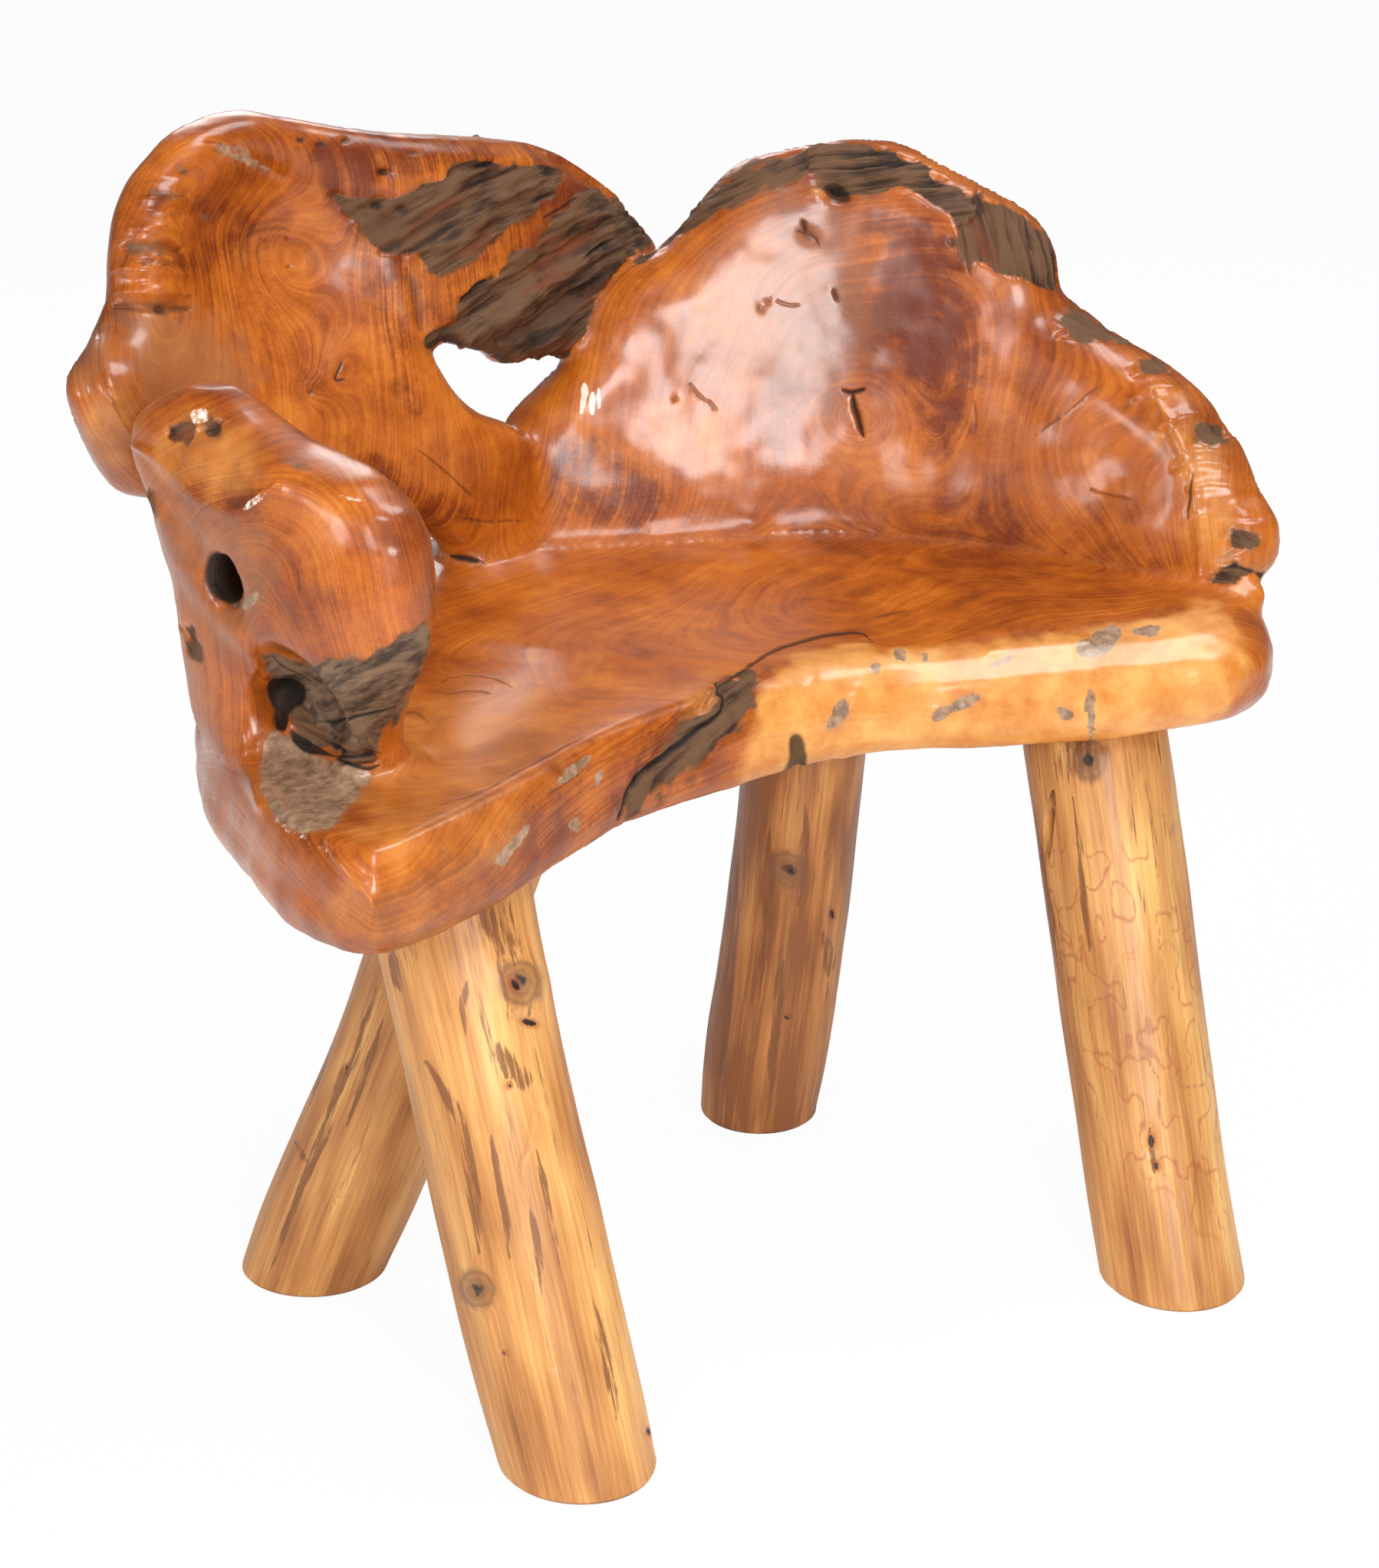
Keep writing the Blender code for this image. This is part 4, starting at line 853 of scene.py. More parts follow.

# %% [markdown]
# Over the rings lie patches: pale sapwood, dark heartwood and painted shade, greyed wood and
# painted sheen, weathered grey-brown wood and painted shade, sandy scars, black places and
# painted shade, and white scuffs and a painted highlight. Each entry names its kind, the root,
# how strong it is, how soft and how ragged its edge is in pixels, and the outline.
# %% Patches of pale, dark and grey wood, and of painted shade and sheen
HOLLOW_FLOOR = (345, 950, 335, 1005, 345, 1055, 380, 1084, 430, 1082, 462, 1045, 492, 1008,
    470, 992, 420, 988, 385, 965)
PATCHES = (
    ("sap", SEAT, 1.0, 9, 12, (985, 905, 1020, 868, 1060, 845, 1100, 836, 1150, 846, 1227, 846,
        1308, 836, 1410, 827, 1487, 811, 1560, 786, 1600, 800, 1640, 860, 1600, 925, 1500, 975,
        1300, 992, 1110, 1010, 960, 1045, 955, 1000, 990, 950)),
    ("sap", SEAT, 0.55, 20, 16, (893, 905, 925, 886, 944, 905, 930, 945, 900, 940)),
    ("sap", SEAT, 0.2, 24, 20, (440, 1160, 500, 1130, 620, 1050, 700, 1030, 660, 1130, 560, 1220,
        470, 1240, 400, 1200)),
    ("sap", BACK, 0.45, 20, 20, (1500, 500, 1560, 560, 1620, 660, 1600, 760, 1560, 720, 1540, 620,
        1500, 560)),
    ("sap", WING, 0.4, 16, 16, (109, 566, 120, 520, 160, 500, 176, 560, 160, 620)),
    ("sap", ARM, 0.35, 20, 20, (190, 570, 260, 540, 330, 570, 360, 620, 280, 650, 210, 620)),
    ("sap", BACK, 0.8, 4, 6, (1056, 250, 1066, 244, 1078, 252, 1070, 263)),
    ("dark", WING, 0.7, 16, 24, (440, 250, 560, 236, 740, 210, 830, 280, 780, 400, 640, 460,
        550, 440, 470, 300)),
    ("dark", BACK, 0.82, 26, 34, (1125, 262, 1215, 268, 1255, 352, 1280, 390, 1290, 470, 1262, 560,
        1235, 640, 1205, 560, 1172, 450, 1140, 400)),
    ("dark", BACK, 0.45, 30, 30, (1240, 600, 1320, 640, 1420, 690, 1540, 720, 1550, 790, 1400, 800,
        1250, 760, 1180, 700)),
    ("dark", BACK, 0.4, 30, 26, (1440, 470, 1500, 520, 1550, 610, 1540, 680, 1480, 600,
        1420, 520)),
    ("dark", BACK, 0.8, 24, 26, (700, 590, 760, 540, 830, 600, 900, 640, 860, 690, 720, 700)),
    # Painted shade along the right side of the wing's bowl.
    ("dark", WING, 0.8, 18, 24, (440, 200, 520, 300, 540, 420, 560, 560, 500, 520, 470, 400,
        430, 290, 400, 220)),
    # Painted shade in the valley below the wing's lowest rib.
    ("dark", WING, 0.75, 16, 20, (146, 398, 250, 400, 262, 420, 200, 440, 150, 430)),
    # Painted shade over the ribs on the wing's left side.
    ("dark", WING, 0.8, 18, 20, (160, 330, 200, 318, 262, 322, 300, 300, 330, 250, 350, 262,
        300, 340, 262, 372, 170, 352)),
    # Painted shade over the wing's upper left ribs.
    ("dark", WING, 0.75, 24, 24, (200, 240, 300, 262, 300, 292, 215, 300, 175, 280)),
    ("dark", WING, 0.75, 20, 24, (430, 560, 520, 600, 620, 660, 660, 700, 560, 690, 470, 640)),
    ("dark", SEAT, 0.6, 16, 24, (470, 1190, 560, 1120, 700, 1040, 800, 1000, 820, 1060, 700, 1140,
        560, 1236, 480, 1245)),
    ("dark", WING, 0.8, 14, 20, (400, 176, 560, 178, 700, 190, 760, 236, 660, 208, 560, 232,
        470, 250, 410, 230)),
    ("grey", ARM, 0.6, 24, 30, (214, 640, 300, 670, 352, 690, 360, 760, 330, 830, 280, 800,
        240, 720)),
    ("dark", ARM, 0.75, 20, 24, (240, 590, 330, 606, 352, 650, 330, 700, 250, 690, 214, 640)),
    ("dark", ARM, 0.5, 26, 30, (300, 672, 420, 690, 452, 760, 430, 826, 340, 826)),
    ("black", WING, 0.38, 20, 24, (610, 450, 690, 392, 760, 344, 830, 312, 790, 396, 748, 470,
        680, 476)),
    # Painted shade under the arm's head, over its grey-brown bark band.
    ("smoke", ARM, 1.0, 10, 16, (332, 850, 352, 850, 400, 868, 460, 858, 510, 836, 562, 810,
        564, 850, 545, 884, 528, 908, 516, 930, 505, 955, 495, 985, 440, 985, 400, 965, 375, 945,
        365, 900, 345, 880)),
    # Painted shadow on the upper part of the floor of the arm's hollow.
    ("smoke", ANY, 0.35, 22, 14, (340, 940, 335, 1005, 342, 1030, 360, 1044, 392, 1020, 424, 990,
        390, 960)),
    ("smoke", WING, 0.5, 6, 10, (163, 318, 196, 309, 230, 320, 228, 334, 190, 339, 164, 334)),
    ("smoke", WING, 0.5, 5, 8, (187, 250, 210, 245, 232, 252, 228, 261, 200, 261)),
    ("smoke", WING, 0.55, 5, 8, (220, 213, 240, 215, 249, 227, 232, 228)),
    ("smoke", WING, 0.55, 5, 8, (240, 277, 262, 275, 277, 284, 256, 289)),
    # Painted shade in the valley below the wing's lowest rib.
    ("smoke", WING, 0.42, 5, 8, (200, 392, 240, 396, 247, 409, 210, 413, 190, 404)),
    ("smoke", ARM, 0.6, 5, 8, (360, 596, 390, 600, 420, 612, 396, 618, 368, 608)),
    ("dark", SEAT, 0.5, 14, 18, (700, 1080, 780, 1040, 880, 1030, 960, 1010, 960, 1040, 800, 1082,
        700, 1130)),
    ("dark", SEAT, 0.6, 10, 14, (955, 905, 1000, 868, 1060, 836, 1120, 826, 1130, 838, 1060, 850,
        1000, 890, 975, 925)),
    ("dark", SEAT, 0.35, 30, 36, (600, 830, 800, 780, 1040, 760, 1300, 740, 1500, 740, 1300, 800,
        1000, 830, 760, 880, 620, 900)),
    ("dark", SEAT, 0.9, 8, 12, (795, 1060, 812, 1012, 846, 975, 890, 925, 926, 888, 960, 868,
        950, 922, 900, 968, 850, 1004, 808, 1050)),
    ("black", SEAT, 0.9, 3, 5, (1012, 1008, 1024, 988, 1033, 956, 1045, 958, 1047, 985, 1060, 1004,
        1054, 1020, 1016, 1026)),
    # Painted shade in the black hole at the back of the arm's hollow.
    ("black", ARM, 1.0, 2, 3, (347, 898, 354, 887, 367, 892, 386, 893, 395, 901, 394, 918, 382, 924,
        374, 930, 376, 940, 372, 954, 358, 949, 357, 930, 349, 918)),
    # Painted shadow under the ledge of crust in the arm's hollow.
    ("black", ARM, 1.0, 2, 3, (374, 946, 398, 964, 422, 976, 437, 985, 466, 984, 495, 979, 493, 983,
        466, 988, 442, 989, 422, 985, 403, 983, 386, 973)),
    ("black", BACK, 0.8, 2, 3, (1072, 240, 1090, 234, 1104, 250, 1112, 262, 1096, 266, 1080, 258)),
    ("scar", SEAT, 0.9, 2, 5, (1397, 845, 1430, 822, 1458, 813, 1464, 826, 1440, 853, 1409, 859)),
    ("scar", SEAT, 0.8, 2, 4, (1470, 819, 1516, 809, 1508, 826, 1478, 828)),
    ("scar", SEAT, 0.7, 2, 4, (1279, 867, 1325, 851, 1320, 865, 1286, 872)),
    ("scar", SEAT, 0.9, 2, 5, (1212, 932, 1233, 916, 1277, 901, 1281, 914, 1241, 935, 1216, 943)),
    ("scar", SEAT, 0.9, 2, 5, (1074, 958, 1084, 920, 1100, 906, 1112, 914, 1110, 932, 1088, 951)),
    ("scar", SEAT, 0.8, 2, 4, (1369, 918, 1401, 920, 1399, 933, 1378, 939)),
    ("scar", SEAT, 0.8, 2, 4, (1417, 893, 1430, 907, 1426, 945, 1417, 966, 1411, 930)),
    ("scar", SEAT, 0.8, 2, 4, (1162, 849, 1179, 843, 1185, 861, 1168, 864)),
    ("scar", SEAT, 0.7, 2, 4, (1198, 847, 1214, 847, 1212, 863, 1200, 860)),
    ("scar", SEAT, 0.7, 2, 4, (1131, 868, 1149, 863, 1147, 882, 1134, 880)),
    ("scar", SEAT, 0.9, 2, 4, (722, 1020, 747, 995, 776, 981, 768, 997, 735, 1023)),
    ("scar", SEAT, 0.9, 2, 4, (776, 1010, 791, 1004, 787, 1021, 778, 1027)),
    ("scar", SEAT, 0.9, 2, 4, (645, 1123, 672, 1090, 693, 1065, 692, 1083, 667, 1115, 651, 1131)),
    ("scar", SEAT, 0.9, 2, 4, (737, 1073, 755, 1061, 753, 1079, 742, 1085)),
    ("grey", ANY, 1.0, 5, 8, HOLLOW_FLOOR),
    ("scar", ANY, 0.72, 6, 8, HOLLOW_FLOOR),
    ("scar", WING, 0.62, 8, 12, (268, 184, 300, 182, 336, 204, 368, 226, 352, 231, 316, 217,
        280, 201)),
    ("scar", ARM, 0.85, 2, 4, (294, 772, 318, 779, 338, 770, 335, 790, 316, 799, 300, 789)),
    ("scar", BACK, 0.55, 2, 4, (894, 494, 908, 504, 938, 538, 928, 536, 904, 520)),
    ("scar", BACK, 0.5, 8, 10, (1578, 735, 1600, 700, 1630, 690, 1650, 740, 1620, 770, 1590, 768)),
    ("grey", WING, 0.75, 30, 30, (150, 402, 230, 396, 310, 430, 330, 520, 260, 545, 170, 530)),
    # Painted glare on top of the wing's lower lobe.
    ("grey", WING, 0.6, 14, 12, (96, 505, 92, 480, 110, 440, 150, 412, 150, 470, 118, 508)),
    ("grey", ARM, 0.55, 24, 26, (186, 640, 230, 700, 260, 760, 330, 830, 300, 860, 232, 790,
        196, 700)),
    ("grey", ARM, 0.6, 24, 26, (240, 860, 262, 940, 280, 1030, 320, 1100, 300, 1120, 262, 1050,
        244, 960)),
    ("sap", SEAT, 0.3, 40, 40, (470, 960, 560, 900, 700, 900, 740, 980, 640, 1060, 520, 1120,
        470, 1060)),
    ("dark", WING, 0.5, 30, 40, (230, 300, 330, 280, 420, 340, 450, 460, 400, 560, 300, 480,
        240, 400)),
    # Painted sheen: a greyer tint over the dome's broad highlight.
    ("grey", BACK, 0.6, 60, 60, (960, 270, 1100, 260, 1130, 400, 1090, 520, 960, 520, 880, 440)),
    ("grey", SEAT, 0.5, 12, 14, (1410, 842, 1450, 826, 1466, 840, 1430, 858)),
    ("grey", SEAT, 0.5, 12, 14, (1206, 944, 1240, 912, 1290, 900, 1270, 925)),
    ("grey", SEAT, 0.5, 10, 14, (1073, 950, 1090, 914, 1112, 912, 1098, 955)),
    ("scuff", BACK, 0.9, 2, 3, (758, 504, 763, 497, 768, 508, 764, 524, 758, 544, 755, 530)),
    ("scuff", BACK, 0.9, 2, 3, (768, 520, 773, 508, 777, 524, 773, 544, 768, 536)),
    ("scuff", BACK, 0.9, 2, 3, (779, 500, 784, 512, 783, 536, 778, 528)),
    # Painted highlight along the edge below the floor of the arm's hollow.
    ("scuff", SEAT, 0.5, 4, 9, (347, 1052, 375, 1078, 436, 1108, 430, 1114, 366, 1086)),
    ("scuff", ARM, 0.62, 3, 5, (250, 540, 262, 532, 276, 538, 270, 552, 254, 554)),
    ("scuff", ARM, 0.6, 2, 4, (316, 662, 330, 650, 348, 638, 352, 646, 336, 660, 322, 668)),
    ("scuff", ARM, 0.55, 3, 6, (430, 640, 470, 648, 474, 656, 440, 652)),
)
KINDS = ("sap", "dark", "grey", "scuff", "scar", "smoke", "black")


def patches_of(view, owners):
    """The most that any outline gives, for each kind of patch."""
    found = {kind: np.zeros(len(view.points)) for kind in KINDS}
    for kind, root, amount, soft, ragged, outline in PATCHES:
        mask = amount * view.patch(outline, soft, ragged) * owners[root]
        found[kind] = np.maximum(found[kind], mask)
    return found


print("patches", len(PATCHES))

# %% [markdown]
# Now the skin is cut finer: once under bark and along carved lines, and twice along cracks and
# painted shade lines, black places and scuffs. Then every mask is worked out on the finer skin and
# stored. The wood that faces away from the camera gets bark where a stretched noise is high.
# %% Refine the skin, and store the marks
MARK_LEAST = 0.05
RIDGE_LEAST = 0.0012
REFINE_LEVELS = 2
OUTER_BARK = 0.16
OUTER_SIZES, OUTER_SEED = (0.050, 0.050, 0.15), 31


def small_marks(view, owners):
    """Where narrow marks lie: the cracks, and the patches whose edges must be sharp."""
    found = patches_of(view, owners)
    return np.maximum.reduce([masks_of(view, owners)[3], found["scuff"], found["black"]])


view = View(points_of(skin), normals_of(skin))
owners = owners_of(skin)
bark = masks_of(view, owners)[0]
wanted = (bark > MARK_LEAST) | (np.abs(lines_of(view, owners)) > RIDGE_LEAST)
for level in range(REFINE_LEVELS):
    view = View(points_of(skin), normals_of(skin))
    marks = small_marks(view, owners_of(skin)) > MARK_LEAST
    skin = refined(skin, wanted | marks if level == 0 else marks)
    print("after refining", len(skin.vertices), "points")
view = View(points_of(skin), normals_of(skin))
owners = owners_of(skin)
uprights = 1 - owners[SEAT]
bark, halo, turn, crack, groove, pit = masks_of(view, owners)
patches = patches_of(view, owners)
patches["halo"] = halo
hidden = 1 - view.facing
streaks = noise(view.points, OUTER_SIZES, OUTER_SEED, 4)
outer = ease(streaks, OUTER_BARK - 0.12, OUTER_BARK) * ease(hidden, 0.6, 1.0) * uprights
outer_halo = ease(streaks, OUTER_BARK - 0.3, OUTER_BARK) * hidden * uprights
outer_dark = 0.5 * ease(streaks, 0.1, OUTER_BARK) * hidden
bark = np.maximum(bark, outer)
patches["halo"] = np.maximum(patches["halo"], outer_halo)
patches["dark"] = np.maximum(patches["dark"], outer_dark)
from_target = view.points - CAMERA_TARGET
across, down = from_target @ rightward, -from_target @ upward
flow = np.column_stack([down * np.cos(turn) - across * np.sin(turn),
                        across * np.cos(turn) + down * np.sin(turn), from_target @ sight])
store(skin, "rings", ring_field(view, owners))
store(skin, "bark", bark)
# The black patches, some of them painted shade in the arm's hollow, join the cracks.
store(skin, "crack", np.maximum(crack, patches.pop("black")))
store(skin, "flow", flow)
for kind in patches:
    store(skin, kind, patches[kind])
print("bark share", round(float(bark.mean()), 3), "crack share", round(float(crack.mean()), 4))

# %% [markdown]
# Now the relief. The gouge and the sander left soft waves in the smooth wood. Bark lies a little
# lower than the wood that was cut round it and has ridges that run along the root. Cracks and holes
# go in. All of it is a height along the surface's own direction. The slab's underside stays flat,
# because the logs stand against it.
# %% Relief of the root wood
WAVE_FINE, WAVE_FINE_SIZE = 0.0012, 0.045
WAVE_BROAD, WAVE_BROAD_SIZE = 0.0018, 0.10
SEAT_WAVE_SHARE = 0.30
SEAT_EDGE_SHARE = 1.3
BARK_DROP = 0.0022
BARK_RIDGE = 0.0052
RIDGE_SIZES = (0.0095, 0.075, 0.05)
FINE_RIDGE_SIZES = (0.0038, 0.06, 0.04)
LUMP = 0.0028
GOUGE, GOUGE_SIZE = 0.00080, 0.024
SWELL = 0.0010
LOWER_RIM = 0.0050
RIM_TOP, RIM_SPAN = 0.405, 0.02
FLUTE_DEPTH = 0.0030
FLUTE_SIZES = (0.020, 0.020, 0.10)
FLOW_BEND, FLOW_BEND_SIZE = 0.003, 0.03
LUMP_SIZE = 0.018
CALM_SEAM = 0.8

under = ease(-normals_of(skin)[:, 2], 0.7, 0.9) * owners[SEAT]
waves = (WAVE_FINE * noise(view.points, WAVE_FINE_SIZE, 41)
         + WAVE_BROAD * noise(view.points, WAVE_BROAD_SIZE, 42)
         + GOUGE * noise(view.points, GOUGE_SIZE, 49, 2)
         * (1 - CALM_SEAM * read(skin, "near_seam")))
steep = ease(1 - normals_of(skin)[:, 2], 0.02, 0.25)
waves *= uprights + (SEAT_WAVE_SHARE + (SEAT_EDGE_SHARE - SEAT_WAVE_SHARE) * steep) * owners[SEAT]
bends = [noise(view.points, FLOW_BEND_SIZE, seed, 2) for seed in (43, 44, 45)]
bent_flow = flow + FLOW_BEND * np.column_stack(bends)
ridges = 1 - np.abs(noise(bent_flow, RIDGE_SIZES, 46, 2)) * 2
fine_ridges = 1 - np.abs(noise(bent_flow, FINE_RIDGE_SIZES, 47)) * 2
lumps = noise(view.points, LUMP_SIZE, 48, 2)
rough = -BARK_DROP + BARK_RIDGE * (0.7 * ridges + 0.3 * fine_ridges - 0.4) + LUMP * lumps
flutes = ease(noise(view.points, FLUTE_SIZES, 71, 2), 0.05, 0.5) * ease(hidden, 0.5, 1.0)
rim = ease(RIM_TOP - view.points[:, 2], 0.0, RIM_SPAN) * owners[SEAT]
waves += SWELL * uprights + LOWER_RIM * rim - FLUTE_DEPTH * flutes * uprights
height = (waves + bark * rough + ridges_of(view, owners)) * (1 - under)
height -= groove + pit * (1 - under)
store(skin, "ridge", np.clip(0.5 + 0.5 * (0.6 * ridges + 0.4 * fine_ridges) + 0.3 * lumps, 0, 1))
set_points(skin, view.points + height[:, None] * normals_of(skin))
print("height", round(float(height.min()), 4), "to", round(float(height.max()), 4))

# %% [markdown]
# The skin is cut apart just above the seat, and the back from the wing where the two roots meet.
# Each cut leaves an open border: edges that only one face has. They are walked from end to end.
# %% Open borders
CUT_LEVEL = 0.446
SNAP = 0.00002


def cut_across(mesh, level):
    """The mesh with its faces split along a level, which puts a row of points there."""
    shape = bmesh.new()
    shape.from_mesh(mesh)
    bmesh.ops.bisect_plane(shape, geom=all_parts(shape), dist=SNAP, plane_co=(0, 0, level),
                           plane_no=(0, 0, 1))
    made = bpy.data.meshes.new("cut")
    shape.to_mesh(made)
    shape.free()
    return made


def face_arrays(mesh):
    """The corner list of all faces in one row, and where each face starts and how long it is."""
    corners = fetched(mesh.loops, "vertex_index", 1, np.int32)
    starts = fetched(mesh.polygons, "loop_start", 1, np.int32)
    sizes = np.diff(np.append(starts, len(corners)))
    return corners, starts, sizes


def open_loops(corners, starts, sizes):
    """The open borders of a set of faces, each walked against its faces' own direction."""
    following = corners[np.where(np.arange(len(corners)) + 1 < np.repeat(starts + sizes, sizes),
                                 np.arange(len(corners)) + 1, np.repeat(starts, sizes))]
    span = int(corners.max()) + 1
    one_way = corners.astype(np.int64) * span + following
    other_way = following.astype(np.int64) * span + corners
    lonely = ~np.isin(one_way, other_way)
    onward = {}
    for start, end in zip(following[lonely].tolist(), corners[lonely].tolist()):
        onward.setdefault(start, []).append(end)
    loops = []
    while onward:
        first = next(iter(onward))
        loop, here = [], first
        while here in onward:
            loop.append(here)
            ends = onward[here]
            here = ends.pop()
            if not ends:
                del onward[loop[-1]]
        loops.append(loop)
    return loops


print("border of one square", open_loops(np.arange(4), np.array([0]), np.array([4])))

# %% [markdown]
# The borders are closed with triangles, so that every root is a whole solid again.
# %% Caps on the open borders
def flat_parts(loop, level_points):
    """A border that runs partly along the level cut and partly up the joint between two roots is
    split with straight chords: one loop on the level, and one loop for each run above it."""
    on_level = [point in level_points for point in loop]
    if all(on_level) or not any(on_level):
        return [loop]
    turn_at = next(i for i in range(len(loop)) if on_level[i] and not on_level[i - 1])
    loop = loop[turn_at:] + loop[:turn_at]
    on_level = on_level[turn_at:] + on_level[:turn_at]
    level_loop = [point for point, level in zip(loop, on_level) if level]
    parts, run = [level_loop], []
    for number, point in enumerate(loop + loop[:1]):
        if number < len(loop) and not on_level[number]:
            run = run or [loop[number - 1]]
            run.append(point)
        elif run:
            parts.append(run + [point])
            run = []
    return [part for part in parts if len(part) > 2]


def caps_of(loops, places, level_points):
    """Triangles that close each loop. Their corners keep the loop's own order."""
    triangles = []
    for loop in loops:
        for part in flat_parts(loop, level_points):
            line = [Vector(places[point]) for point in part]
            for corners in tessellate_polygon([line]):
                triangles.append([part[corner] for corner in sorted(corners)])
    return triangles


square = [(0, 0, 0), (1, 0, 0), (1, 1, 0), (0, 1, 0)]
print("caps of one square", caps_of([range(4)], square, ()))

# %% [markdown]
# Each piece takes its faces from the skin, its caps, and all stored numbers. The surface keeps the
# directions that it had on the whole skin, as custom normals, so that light runs on across the
# seams.
# %% Cut the skin into the four roots
NUMBERS = ("rings", "bark", "crack", "ridge", *patches)
LABEL_ROUNDS = 24
AT_LEVEL = 0.00005


def root_piece(name, mesh, chosen):
    """A closed piece made of the chosen faces of the cut skin, with all its stored numbers."""
    corners, starts, sizes = face_arrays(mesh)
    keep = np.repeat(chosen, sizes)
    kept, kept_sizes = corners[keep], sizes[chosen]
    kept_starts = np.concatenate([[0], np.cumsum(kept_sizes)[:-1]])
    used, kept = np.unique(kept, return_inverse=True)
    places = points_of(mesh)[used]
    level_points = set(np.flatnonzero(np.abs(places[:, 2] - CUT_LEVEL) < AT_LEVEL).tolist())
    loops = open_loops(kept, kept_starts, kept_sizes)
    caps = caps_of(loops, places, level_points)
    faces = [part.tolist() for part in np.split(kept, kept_starts[1:])] + caps
    piece_mesh = bpy.data.meshes.new(name)
    piece_mesh.from_pydata(places.tolist(), [], faces)
    for number in NUMBERS:
        store(piece_mesh, number, read(mesh, number)[used])
    for three in ("flow", "skin_normal"):
        store(piece_mesh, three, read_three(mesh, three)[used])
    directions = read_three(piece_mesh, "skin_normal")
    cap_normals = [np.array(piece_mesh.polygons[len(faces) - len(caps) + number].normal)
                   for number in range(len(caps))]
    turned = directions[kept].tolist() + [list(n) for n in cap_normals for _ in range(3)]
    piece_mesh.shade_smooth()
    piece_mesh.normals_split_custom_set(turned)
    piece_mesh.attributes.remove(piece_mesh.attributes["skin_normal"])
    piece = link_piece(name, piece_mesh)
    print(name, "points", len(places), "loops", [len(loop) for loop in loops], "caps", len(caps))
    return piece


store(skin, "skin_normal", normals_of(skin))
edges = edges_of(skin)
for root in ROOTS[1:]:
    label = read(skin, root)
    for _ in range(LABEL_ROUNDS):
        label = 0.5 * label + 0.5 * neighbour_mean(label, edges, len(label))
    store(skin, root, label)
cut = cut_across(skin, CUT_LEVEL)
corners, starts, sizes = face_arrays(cut)
face_height = np.add.reduceat(points_of(cut)[corners, 2], starts) / sizes
labels = np.column_stack([np.add.reduceat(read(cut, root)[corners], starts) for root in ROOTS[1:]])
label = np.where(face_height < CUT_LEVEL, 0, 1 + labels.argmax(axis=1))
root_pieces = []
for number, root in enumerate(ROOTS):
    piece = root_piece(root.split("_")[0] + "_wood", cut, label == number)
    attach(piece, "root")
    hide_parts(root)
    root_pieces.append(piece)

# %% [markdown]
# Materials are written as sums. This small class wraps a socket of a shader node, so that adding,
# multiplying or comparing two of them adds the right Math node. Every other kind of node comes from
# one method, which sets the node's type and settings first and its sockets after that.
# %% Shader sums
class Wire:
    """A socket of a shader node, with sums written as plain expressions."""

    def __init__(self, tree, socket=None):
        self.tree = tree
        self.socket = socket

    def node(self, kind, settings, sockets, output=0):
        made = self.tree.nodes.new("ShaderNode" + kind)
        for name, value in settings.items():
            if name == "stops":
                self.set_stops(made.color_ramp, value)
            else:
                setattr(made, name, value)
        for name, value in sockets.items():
            if isinstance(value, Wire):
                self.tree.links.new(value.socket, made.inputs[name])
            else:
                made.inputs[name].default_value = value
        return Wire(self.tree, made.outputs[output])

    @staticmethod
    def set_stops(ramp, stops):
        while len(ramp.elements) < len(stops):
            ramp.elements.new(1.0)
        for element, (place, colour) in zip(ramp.elements, stops):
            element.position = place
            element.color = colour

    def math(self, operation, *values):
        return self.node("Math", {"operation": operation}, dict(enumerate(values)))

    def __add__(self, other):
        return self.math("ADD", self, other)

    __radd__ = __add__

    def __mul__(self, other):
        return self.math("MULTIPLY", self, other)

    __rmul__ = __mul__

    def __sub__(self, other):
        return self.math("SUBTRACT", self, other)

    def __rsub__(self, other):
        return self.math("SUBTRACT", other, self)

    def clipped(self):
        return self.math("MINIMUM", self.math("MAXIMUM", self, 0.0), 1.0)

    def eased(self, low, high):
        """0 below low, 1 above high, with a smooth step between."""
        settings = {"interpolation_type": "SMOOTHSTEP"}
        return self.node("MapRange", settings, {"Value": self, "From Min": low, "From Max": high})

    def mixed(self, colour_a, colour_b):
        """Colour a where this wire is 0 and colour b where it is 1."""
        return self.node("Mix", {"data_type": "RGBA"}, {0: self, 6: colour_a, 7: colour_b}, 2)

    def number(self, name):
        return self.node("Attribute", {"attribute_name": name}, {}, "Fac")

    def three(self, name):
        return self.node("Attribute", {"attribute_name": name}, {}, "Vector")

    def place(self):
        return self.node("TexCoord", {}, {}, "Object")

    def scaled(self, factors):
        return self.node("VectorMath", {"operation": "MULTIPLY"}, {0: self, 1: factors})

    def noise(self, scale, detail=2.0, roughness=0.5):
        """Noise over this wire as a place, from 0 to 1."""
        return self.node("TexNoise", {}, {"Vector": self, "Scale": scale, "Detail": detail,
                                          "Roughness": roughness})

    def noise_along(self, w, scale, detail=2.0, roughness=0.5):
        """Noise over this wire as a place, and over a fourth coordinate."""
        return self.node("TexNoise", {"noise_dimensions": "4D"},
                         {"Vector": self, "W": w, "Scale": scale, "Detail": detail,
                          "Roughness": roughness})

    def bump(self, distance, strength):
        """A tilt of the surface that follows this wire as a height, for the Normal socket."""
        return self.node("Bump", {}, {"Height": self, "Distance": distance, "Strength": strength})


print("sums for", [name for name in vars(Wire) if name.startswith("__r")])

# %% [markdown]
# A few helpers start a material, end it and put it on pieces. Colours are written as numbers from
# 0 to 255, and turned into the linear ones that shaders work with.
# %% Colours and materials
def colour(red, green, blue):
    shares = [value / 255 for value in (red, green, blue)]
    linear = [s / 12.92 if s < 0.04045 else ((s + 0.055) / 1.055)**2.4 for s in shares]
    return (*linear, 1.0)


